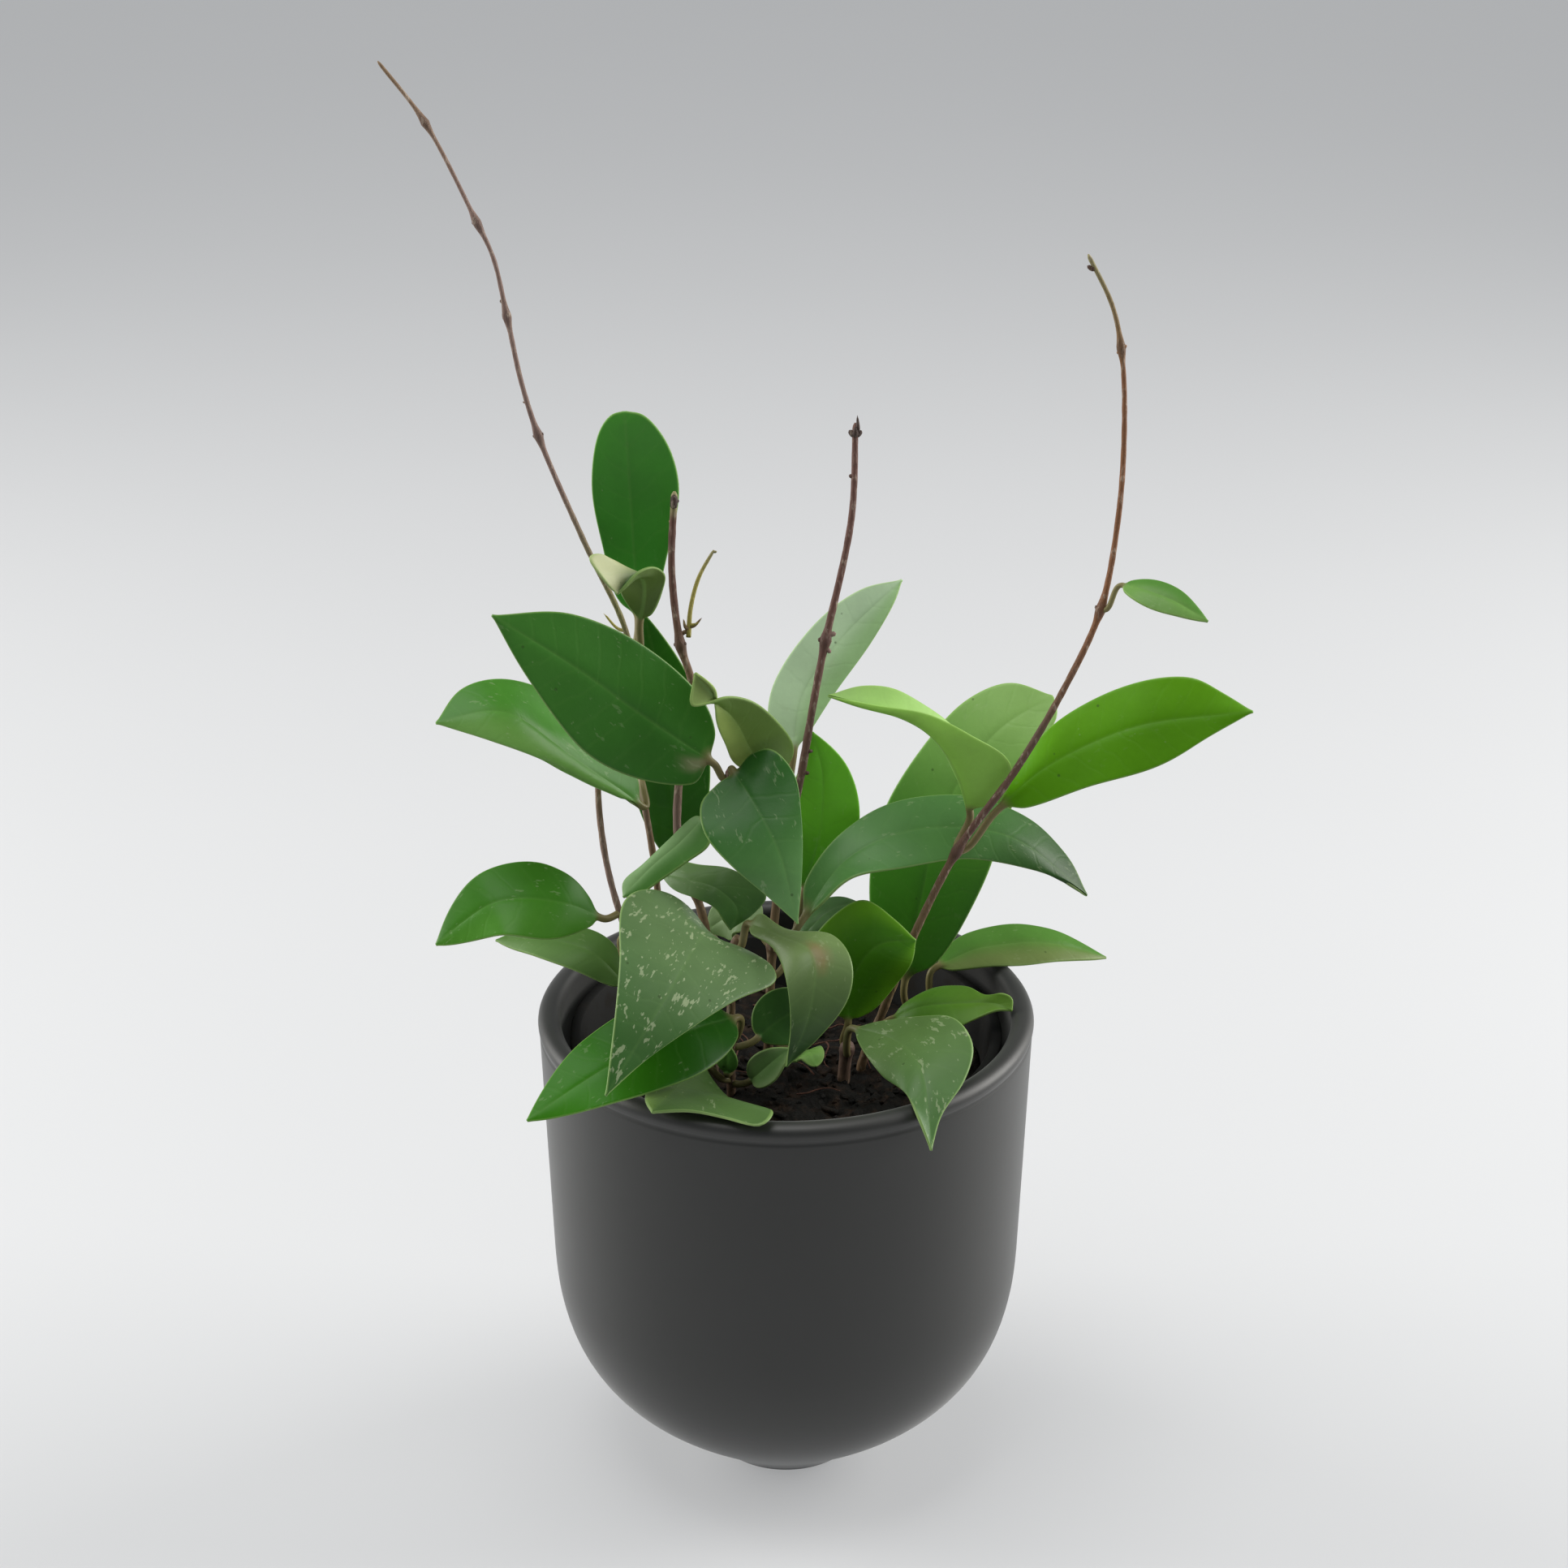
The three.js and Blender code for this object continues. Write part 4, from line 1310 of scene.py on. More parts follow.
@dataclass
class Stem:
    """Builds one stem with its swollen nodes and the small things on it."""

    line: StemLine
    swell: float = 0.5
    node_length: float = 2.6
    ridge: float = 0.15
    ridge_length: float = 0.55
    knot_reach: tuple[float, float] = (0.8, 3.4)
    unevenness: float = 0.1
    uneven_scale: float = 0.35
    end_share: float = 0.35
    end_round: tuple[float, float] = (-0.2, 1.2)
    cut_length: float = 8
    sides: int = 14
    step: float = 0.8
    twig_sides: int = 8
    twig_step: float = 0.35
    twig_knot: float = 0.2
    twig_foot: float = 0.5
    twig_handles: tuple[float, float] = (0.4, 0.3)
    twig_taper: float = 0.8
    course: Course = field(init=False)

    def __post_init__(self) -> None:
        """Lays the stem's course."""
        self.course = Course.through(self.line.points)

    def radius(self, share: float) -> float:
        """The plain radius with the swelling of the nodes, as leaves sit on it.

        Args:
            share: The share of the stem's length.

        Returns:
            The radius in millimetres.
        """
        reach = self.line.radius[0] + (self.line.radius[1] - self.line.radius[0]) * share
        for node in self.line.nodes:
            away = (share - node) * self.course.length / self.node_length
            reach += self.swell * math.exp(-away * away)
        return reach

    def knot(self, share: float) -> float:
        """How near a share of the length is to a node, from 0 to 1."""
        gaps = [abs(share - node) * self.course.length for node in self.line.nodes]
        return 1 - smooth(*self.knot_reach, min(gaps, default=math.inf))

    def skin_radius(self, share: float) -> float:
        """The radius of the finished stem: nodes have a ring-shaped ridge, and the skin is uneven.

        Args:
            share: The share of the stem's length.

        Returns:
            The radius in millimetres.
        """
        reach = self.radius(share)
        for node in self.line.nodes:
            away = (share - node) * self.course.length / self.ridge_length
            reach += self.ridge * math.exp(-away * away)
        place = self.course.at(share)
        reach *= 1 + self.unevenness * noise.noise(place * self.uneven_scale)
        to_end = (1 - share) * self.course.length
        return reach * (self.end_share + (1 - self.end_share) * smooth(*self.end_round, to_end))

    def tone(self, share: float) -> Colour:
        """The stem's colour.

        Args:
            share: The share of its length.

        Returns:
            The colour there.
        """
        tones = self.line.tones
        place = share * (len(tones) - 1)
        index = min(int(place), len(tones) - 2)
        colour = mixed(tones[index], tones[index + 1], place - index)
        if self.line.cut is None:
            return colour
        to_end = (1 - share) * self.course.length
        return mixed(self.line.cut, colour, smooth(self.cut_length / 2, self.cut_length, to_end))

    def grow_twig(self, twig: Twig) -> bpy.types.Object:
        """Builds one twig.

        Args:
            twig: Its sizes and place.

        Returns:
            The twig, painted.
        """
        centre, tangent = self.course.at(twig.at), self.course.tangent(twig.at)
        right = across_of(Vector((1, 0, 0)), tangent)
        front = across_of(Vector((0, -1, 0)), tangent)
        turn, rise = math.radians(twig.turn), math.radians(twig.rise)
        out = (right * math.cos(turn) + front * math.sin(turn)).normalized()
        heading = out * math.cos(rise) + tangent * math.sin(rise)
        start = centre + out * self.radius(twig.at) * self.twig_foot
        end = start + heading * twig.length
        leave = start + out * twig.length * self.twig_handles[0]
        arrive = end - heading * twig.length * self.twig_handles[1]
        course = Course.bow(start, leave, arrive, end)
        foot, tip = twig.radii

        def reach(share: float) -> float:
            """The twig's radius at a share of its length."""
            return (foot + (tip - foot) * share) * (1 - self.twig_taper * smooth(0.8, 1.0, share))

        piece = rod("twig", course, reach, self.twig_sides, self.twig_step)
        paint_plain(piece, twig.colour, self.twig_knot)
        return piece

    def build(self, finish: bpy.types.Material, slot: str) -> None:
        """Builds and dresses the stem.

        Args:
            finish: The bark.
            slot: The material slot it stands for.
        """
        cane = rod(f"cane_{self.line.name}", self.course, self.skin_radius, self.sides, self.step)
        length = self.course.length
        shares = [value.value / length for value in cane.data.attributes["along"].data]
        tint = cane.data.attributes.new("tint", "FLOAT_COLOR", "POINT")
        tint.data.foreach_set("color", [c for share in shares for c in self.tone(share)])
        mark(cane, "knot", [self.knot(share) for share in shares])
        twigs = [self.grow_twig(twig) for twig in self.line.twigs]
        cane = joined(cane.name, [cane, *twigs])
        hand_over(cane, finish, slot, f"stem_{self.line.name}")


MAROON = srgb(92, 60, 50)
DARK_BARK = srgb(88, 66, 52)
GREY_BARK = srgb(126, 102, 92)
OLIVE_BARK = srgb(132, 126, 86)
RED_BARK = srgb(118, 76, 44)
PALE_CUT = srgb(150, 112, 78)
SHOOT = srgb(150, 140, 66)
TAN_BARK = srgb(122, 98, 70)
BUD_YELLOW = srgb(168, 158, 84)
DARK_BUD = srgb(52, 34, 26)

STEMS = (
    StemLine("cut_main", ((-20, -3, 105), (-20, -2, 121), (-22, 4, 161), (-29, 6, 186), (-29, 7, 201),
                          (-25, 9, 230), (-28, 10, 242), (-30, 12, 262), (-29, 13, 283)),
             (1.35, 0.9), (0.38, 0.77),
             (TAN_BARK, DARK_BARK, TAN_BARK, GREY_BARK, TAN_BARK, MAROON, MAROON),
             (Twig(0.77, 200, 20, 1.2, (0.7, 0.5)), Twig(0.77, 20, 30, 1.1, (0.7, 0.5)),
              Twig(0.955, 190, 15, 0.6, (0.5, 0.4), PALE_CUT), Twig(0.98, 90, 84, 3, (1.0, 0.9), DARK_BUD),
              Twig(0.985, 10, 40, 1.0, (0.6, 0.4), DARK_BUD)),
             cut=OLIVE_BARK),
    StemLine("left_tendril", ((-26, 4, 105), (-27, 4, 121), (-33, 8, 150), (-36, 8, 180), (-39, 7, 205),
                              (-40, 7, 230), (-42, 4, 248), (-52, 0, 274), (-62, -4, 302), (-66, -5, 317),
                              (-69, -4, 333), (-72, -3, 348), (-76, -2, 357), (-88, 3, 380), (-99, 6, 394)),
             (1.1, 0.45), (0.45, 0.67, 0.773, 0.852, 0.94),
             (DARK_BARK, TAN_BARK, TAN_BARK, GREY_BARK, OLIVE_BARK, GREY_BARK, GREY_BARK, GREY_BARK,
              TAN_BARK),
             (Twig(0.67, 0, 25, 0.9, (0.55, 0.4)), Twig(0.67, 180, 25, 0.9, (0.55, 0.4)),
              Twig(0.7, 190, 30, 0.9, (0.3, 0.15), TAN_BARK), Twig(0.785, 200, 40, 0.8, (0.5, 0.35)),
              Twig(0.852, 200, 50, 0.9, (0.55, 0.4)), Twig(0.475, 200, 50, 7, (0.5, 0.25), BUD_YELLOW))),
    StemLine("young_shoot", ((-25.8, 10.8, 243.5), (-25.2, 12, 251), (-23, 14, 259), (-19, 16, 266)),
             (0.7, 0.45), (), (SHOOT, SHOOT, SHOOT, OLIVE_BARK),
             (Twig(0.12, 10, 40, 4, (0.6, 0.15), TAN_BARK), Twig(0.1, 150, 60, 3, (0.6, 0.15), TAN_BARK),
              Twig(0.14, 30, 20, 3, (0.5, 0.1), SHOOT), Twig(0.06, 195, -35, 3, (0.65, 0.6), TAN_BARK),
              Twig(0.985, 10, 30, 0.8, (0.4, 0.3), OLIVE_BARK)),
             young=True),
    StemLine("far_left", ((-22, -9, 105), (-24, -9, 121), (-37, -10, 151), (-44, -10, 171), (-48, -6, 186),
                          (-50, 0, 200), (-50, 3, 209), (-49, 6, 217)),
             (1.1, 0.8), (0.55, 0.93), (DARK_BARK, DARK_BARK, GREY_BARK, TAN_BARK),
             (Twig(0.93, 190, 30, 1.1, (0.6, 0.45)), Twig(0.93, 10, 10, 1.0, (0.6, 0.45)))),
    StemLine("middle", ((-5, -2, 105), (-5, -2, 121), (-3, -2, 168), (1, -2, 194), (4, -1, 209),
                        (7, 2, 227), (10, 5, 243), (17, 12, 276), (18, 18, 300)),
             (1.4, 0.8), (0.27, 0.46, 0.71),
             (DARK_BARK, TAN_BARK, TAN_BARK, DARK_BARK, MAROON, MAROON, MAROON),
             (Twig(0.72, 0, 20, 1.8, (0.8, 0.6), GREY_BARK), Twig(0.71, 180, 10, 1.3, (0.8, 0.6)),
              Twig(0.7, 10, -30, 1.6, (0.7, 0.5), GREY_BARK), Twig(0.56, 5, 5, 1.5, (0.6, 0.45)),
              Twig(0.53, 10, 5, 1.6, (0.6, 0.45)), Twig(0.93, 185, 20, 1.1, (0.6, 0.45)),
              Twig(0.985, 0, 40, 1.6, (0.9, 0.5), DARK_BUD),
              Twig(0.985, 180, 40, 1.6, (0.9, 0.5), DARK_BUD),
              Twig(0.985, 90, 60, 2.4, (0.9, 0.4), DARK_BUD),
              Twig(0.99, 60, 84, 4, (0.8, 0.15), DARK_BUD))),
    StemLine("inner_branch", ((-4, -3.3, 176.5), (-8, -7, 185), (-11, -9.5, 201), (-15, -11, 215)),
             (1.1, 1.1), (0.93,), (DARK_BARK, MAROON)),
    StemLine("right_tendril", ((20, 0, 105), (21, 0, 121), (27, -2, 140), (35, -4, 164), (46, -8, 191),
                               (60, -10, 214), (72, -8, 236), (81, -5, 257), (85, 0, 280), (86, 4, 300),
                               (85, 6, 319), (82, 6, 333), (75, 5, 347)),
             (1.3, 0.55), (0.345, 0.64, 0.9),
             (TAN_BARK, TAN_BARK, TAN_BARK, MAROON, DARK_BARK, RED_BARK, RED_BARK, RED_BARK, OLIVE_BARK),
             (Twig(0.64, 180, 30, 1.1, (0.65, 0.45)), Twig(0.9, 10, 30, 1.0, (0.6, 0.4), PALE_CUT),
              Twig(0.895, 190, 20, 0.8, (0.5, 0.4), PALE_CUT), Twig(0.985, 180, 50, 1.8, (0.8, 0.4)))),
    StemLine("front_short", ((-15, -13, 105), (-15, -13, 121), (-15, -13, 141), (-14, -14, 160),
                             (-13, -14, 168)),
             (1.3, 1.1), (0.5, 0.95), (DARK_BARK, TAN_BARK)),
    StemLine("right_short", ((16, -5, 105), (16, -5, 121), (17, -7, 132)), (1.8, 1.6), (0.9,),
             (TAN_BARK, GREY_BARK)),
    StemLine("back_short", ((38, 17, 105), (38, 17, 121), (38, 18, 131)), (1.8, 1.6), (0.9,),
             (DARK_BARK, TAN_BARK)),
)


class Patch(Enum):
    """Where on a blade its second colour lies."""

    TIP = "tip"
    BASE = "base"
    LEFT = "left"
    RIGHT = "right"
    RIM = "rim"

    def share(self, along: float, across: float) -> float:
        """How much of the second colour shows at a place.

        Args:
            along: From 0 at the blade's base to 1 at its tip.
            across: From -1 at one margin to 1 at the other.

        Returns:
            A share from 0 to 1.
        """
        shares = {
            Patch.TIP: smooth(0.3, 0.95, along),
            Patch.BASE: 1 - smooth(0.05, 0.6, along),
            Patch.LEFT: smooth(-0.35, 0.75, -across),
            Patch.RIGHT: smooth(-0.35, 0.75, across),
            Patch.RIM: smooth(0.4, 1.0, abs(across)),
        }
        return shares[self]


class Skin(Enum):
    """The three kinds of leaf skin, by their slot in the part."""

    BRIGHT = "leaf_bright"
    DEEP = "leaf_deep"
    WAXY = "leaf_waxy"


@dataclass(frozen=True)
class Tone:
    """The colours of one leaf.

    Attributes:
        upper: The main colour of its upper side.
        second: Another colour of the upper side, which on several leaves paints the light and shade falling
            on the blade.
        patch: Where that second colour lies.
        under: The colour of its underside.
        bloom: How much grey wax, with the pale sheen that it paints, lies on it, from 0 to 1.
        specks: How thick its silvery flecks are, from 0 to 1.
        blemish_and_sheen: Place along and across, radius along, and colour of one patch: a discoloured spot
            on most leaves, and a grey patch of painted sheen on big_left.
    """

    BLEMISH_AND_SHEEN_SPREAD = 3
    BLEMISH_AND_SHEEN_SHARE = 0.8

    upper: Colour
    second: Colour
    patch: Patch = Patch.TIP
    under: Colour = srgb(124, 148, 92)
    bloom: float = 0.1
    specks: float = 0.15
    blemish_and_sheen: tuple[float, float, float, Colour] | None = None

    def at(self, along: float, across: float, under: bool) -> Colour:
        """The leaf's colour at a place.

        Args:
            along: From 0 at the blade's base to 1 at its tip.
            across: From -1 at one margin to 1 at the other.
            under: Whether the place is on the underside.

        Returns:
            The colour.
        """
        if under:
            return self.under
        colour = mixed(self.upper, self.second, self.patch.share(along, across))
        if self.blemish_and_sheen is not None:
            spot_along, spot_across, reach, spot_colour = self.blemish_and_sheen
            spread = self.BLEMISH_AND_SHEEN_SPREAD * reach
            away = math.hypot((along - spot_along) / reach, (across - spot_across) / spread)
            colour = mixed(colour, spot_colour, self.BLEMISH_AND_SHEEN_SHARE * (1 - smooth(0.4, 1.2, away)))
        return colour


@dataclass(frozen=True)
class Oval:
    """The form of a plain blade, wide in the middle and narrow at both ends.

    Attributes:
        width: Its greatest width.
        faces: Where its upper side looks, in even steps from base to tip.
        lift: How far the margins stand over the vein, as a share of the half width.
        widest: The share of the length where it is widest.
        ends: Exponents of the outline towards base and tip; small ones are blunt.
    """

    STEPS = 96

    width: float
    faces: tuple[Triple, ...]
    lift: float = -0.02
    widest: float = 0.42
    ends: tuple[float, float] = (0.6, 0.85)

    def half(self, along: float) -> float:
        """The half width at a share of the length.

        Args:
            along: From 0 at the blade's base to 1 at its tip.

        Returns:
            The half width in millimetres.
        """
        near_base = along < self.widest
        span = self.widest if near_base else 1 - self.widest
        share = math.cos(math.pi / 2 * min(abs(along - self.widest) / span, 1.0))
        return self.width / 2 * max(share, 0.0) ** (self.ends[0] if near_base else self.ends[1])

    def face(self, along: float) -> Vector:
        """Where the upper side looks at a share of the length.

        Args:
            along: From 0 at the blade's base to 1 at its tip.

        Returns:
            The direction.
        """
        faces = [Vector(f).normalized() for f in self.faces]
        place = along * (len(faces) - 1)
        index = min(int(place), max(len(faces) - 2, 0))
        return faces[index].lerp(faces[min(index + 1, len(faces) - 1)], place - index)

    def margins(self, vein: Course) -> tuple[Course, Course]:
        """The courses of the left and the right margin, from base to tip.

        Args:
            vein: The middle vein.

        Returns:
            The two courses.
        """
        left, right = [], []
        for step in range(self.STEPS + 1):
            along = step / self.STEPS
            tangent = vein.tangent(along)
            normal = across_of(self.face(along), tangent)
            across = tangent.cross(normal) * self.half(along)
            middle = vein.at(along) + normal * (self.half(along) * self.lift)
            left.append(middle - across)
            right.append(middle + across)
        return Course(left), Course(right)


@dataclass(frozen=True)
class Drawn:
    """The form of a blade that is lobed, bent, curled or folded: each margin has its own points.

    Attributes:
        left: Points from base to tip on the margin that lies left of the vein, seen on the upper
            side with the tip ahead.
        right: Points on the other margin.
    """

    left: tuple[Triple, ...]
    right: tuple[Triple, ...]

    def margins(self, vein: Course) -> tuple[Course, Course]:
        """The courses of the left and the right margin, from base to tip.

        Args:
            vein: The middle vein.

        Returns:
            The two courses.
        """
        base, tip = tuple(vein.at(0)), tuple(vein.at(1))
        return Course.through((base, *self.left, tip)), Course.through((base, *self.right, tip))


@dataclass(frozen=True)
class LeafShape:
    """One leaf.

    Attributes:
        name: Its name in the part.
        stem: The stem it grows on.
        at: The share of that stem's length where it grows.
        vein: Points on its middle vein from the blade's base to its tip.
        form: The form of its blade.
        tone: Its colours.
        skin: Its kind of skin.
        stalk: The radius of its stalk.
    """

    name: str
    stem: str
    at: float
    vein: tuple[Triple, ...]
    form: Oval | Drawn
    tone: Tone
    skin: Skin = Skin.BRIGHT
    stalk: float = 1.0


STALK_COLOUR = mixed(srgb(112, 128, 66), srgb(120, 98, 74), 0.7)


@dataclass
class Leaf:
    """Builds one leaf: a grid laid on its middle surface, then given its thickness."""

    shape: LeafShape
    stem: Stem
    middle_thickness: float = 1.5
    margin_thickness: float = 0.75
    least_thickness: float = 0.1
    narrow_half: float = 4
    narrow_share: float = 0.6
    stalk_rows: int = 9
    blade_rows: int = 36
    columns: tuple[float, ...] = (0.035, 0.11, 0.24, 0.42, 0.62, 0.8, 0.93, 1.0)
    tip_half_width: float = 0.3
    groove: float = 0.22
    groove_width: float = 0.7
    ripple: float = 0.04
    ripple_angle: float = 9
    ripple_offset: float = 2
    billow: float = 0.5
    billow_length: float = 11
    calm_ends: tuple[float, float] = (0.1, 0.75)
    flattening: tuple[float, float] = (-0.01, 0.1)
    nearest_end: float = 0.04
    sink: float = 0.5
    vein_spacing: float = 7
    vein_slant: float = 0.09
    under_offset: float = 9
    skin_start: tuple[float, float] = (0.2, 0.9)
    tint_start: tuple[float, float] = (0.15, 0.85)
    stalk: Course = field(init=False)
    vein: Course = field(init=False)
    margins: tuple[Course, Course] = field(init=False)

    def __post_init__(self) -> None:
        """Lays the vein, the margins and the stalk."""
        shape = self.shape
        self.vein = Course.through(shape.vein)
        self.margins = shape.form.margins(self.vein)
        blade_start, heading = self.vein.at(0), self.vein.tangent(0)
        centre, tangent = self.stem.course.at(shape.at), self.stem.course.tangent(shape.at)
        out = across_of(blade_start - centre, tangent)
        start = centre + out * (self.stem.radius(shape.at) - self.sink)
        handle = (blade_start - start).length / 3
        leave, arrive = start + out * handle, blade_start - heading * handle
        self.stalk = Course.bow(start, leave, arrive, blade_start)

    def normal(self, tangent: Vector, along: float) -> Vector:
        """Where the upper side looks.

        Args:
            tangent: The direction of travel there.
            along: The share of the blade's length.

        Returns:
            The direction, square to the tangent.
        """
        near = min(max(along, self.nearest_end), 1 - self.nearest_end)
        left, right = (margin.at(near) for margin in self.margins)
        return across_of((right - left).cross(self.vein.tangent(near)), tangent)

    def row(
        self, centre: Vector, tangent: Vector, along: float, flatness: float
    ) -> list[dict[str, object]]:
        """One row of points from margin to margin.

        Args:
            centre: The point on the vein.
            tangent: The vein's direction.
            along: The share of the blade's length.
            flatness: From 0, a round stalk, to 1, a flat blade.

        Returns:
            For each point its place, the leaf's thickness there and where on the leaf it lies.
        """
        normal = self.normal(tangent, along)
        left, right = (margin.at(along) for margin in self.margins)
        reach = (right - left) / 2
        least = self.shape.stalk if along < 0.5 else self.tip_half_width
        if reach.length < least:
            reach = tangent.cross(normal) * least
        lift = (left + right) / 2 - centre
        half = reach.length
        ends = smooth(0, self.calm_ends[0], along) * (1 - smooth(self.calm_ends[1], 1, along))
        thinner = self.middle_thickness - self.margin_thickness
        fullness = self.narrow_share + (1 - self.narrow_share) * smooth(0, self.narrow_half, half)
        points = []
        for v in [*(-c for c in reversed(self.columns)), 0.0, *self.columns]:
            offset = 0 if v > 0 else self.ripple_offset
            wave = self.ripple * half * math.sin(along * self.ripple_angle + offset) * v * v
            dip = self.groove * math.exp(-((half * v / self.groove_width) ** 2))
            flat = centre + reach * v + lift * (v * v)
            swell = self.billow * noise.noise(flat / self.billow_length)
            flat += normal * (wave + (swell - dip) * ends)
            stalk, quarter = self.shape.stalk, math.pi / 2 * v
            round_place = centre + tangent.cross(normal) * (stalk * math.sin(quarter))
            round_thickness = 2 * stalk * math.cos(quarter) + self.least_thickness
            flat_thickness = (self.middle_thickness - thinner * v * v) * fullness
            points.append({
                "place": round_place.lerp(flat, flatness),
                "thickness": round_thickness + (flat_thickness - round_thickness) * flatness,
                "along": along,
                "across": v,
                "half": half,
                "stalk": 1 - flatness,
            })
        return points

    def rows(self) -> list[list[dict[str, object]]]:
        """All rows from the stalk's foot to the blade's tip.

        Returns:
            The rows, each as a list of points.
        """
        rows = []
        for i in range(self.stalk_rows):
            share = i / self.stalk_rows
            rows.append(self.row(self.stalk.at(share), self.stalk.tangent(share), 0.0, 0.0))
        for i in range(self.blade_rows + 1):
            share = i / self.blade_rows
            along = 0.5 * share + 0.5 * (0.5 - 0.5 * math.cos(math.pi * share))
            flatness = smooth(*self.flattening, along)
            rows.append(self.row(self.vein.at(along), self.vein.tangent(along), along, flatness))
        return rows

    def dress(self, blade: bpy.types.Object, points: list[dict[str, object]]) -> None:
        """Writes where each point lies on the leaf, and its colour, as attributes.

        Args:
            blade: The thickened leaf, upper side first.
            points: The points of the middle surface.
        """
        tone = self.shape.tone
        both = [(p, False) for p in points] + [(p, True) for p in points]
        length = self.vein.length
        mark(blade, "under", [float(under) for _, under in both])
        mark(blade, "stalk", [smooth(*self.skin_start, p["stalk"]) for p, _ in both])
        mark(blade, "rim", [p["half"] * (1 - abs(p["across"])) for p, _ in both])
        mark(blade, "rib", [p["half"] * abs(p["across"]) for p, _ in both])
        mark(blade, "vein", [
            p["along"] * length / self.vein_spacing - abs(p["across"]) * p["half"] * self.vein_slant
            for p, _ in both
        ])
        mark(blade, "bloom", [tone.bloom] * len(both))
        mark(blade, "specks", [tone.specks] * len(both))
        spot = blade.data.attributes.new("spot", "FLOAT_VECTOR", "POINT")
        seed = sum(map(ord, self.shape.name))
        places = [
            (p["along"] * length, p["across"] * p["half"], seed + self.under_offset * under)
            for p, under in both
        ]
        spot.data.foreach_set("vector", [c for place in places for c in place])
        tint = blade.data.attributes.new("tint", "FLOAT_COLOR", "POINT")
        colours = []
        for p, under in both:
            colour = tone.at(p["along"], p["across"], under)
            colours.extend(mixed(colour, STALK_COLOUR, smooth(*self.tint_start, p["stalk"])))
        tint.data.foreach_set("color", colours)

    def build(self, finishes: dict[Skin, bpy.types.Material]) -> None:
        """Builds and dresses the leaf, which replaces the solid of its name.

        Args:
            finishes: The leaf skins.
        """
        rows = self.rows()
        points = [point for row in rows for point in row]
        places = [[point["place"] for point in row] for row in rows]
        blade = grid(f"blade_{self.shape.name}", len(rows[0]) - 1, places)
        thickest = max(point["thickness"] for point in points)
        weights = blade.vertex_groups.new(name="thickness")
        for index, point in enumerate(points):
            weights.add([index], point["thickness"] / thickest, "REPLACE")
        flesh = blade.modifiers.new("flesh", "SOLIDIFY")
        flesh.thickness = thickest * MM
        flesh.offset = 0
        flesh.vertex_group = "thickness"
        apply_modifiers(blade)
        self.dress(blade, points)
        blade.vertex_groups.clear()
        rounding = blade.modifiers.new("rounding", "SUBSURF")
        rounding.levels = rounding.render_levels = 1
        apply_modifiers(blade)
        bpy.ops.object.shade_smooth()
        skin = self.shape.skin
        hand_over(blade, finishes[skin], skin.value, f"leaf_{self.shape.name}")


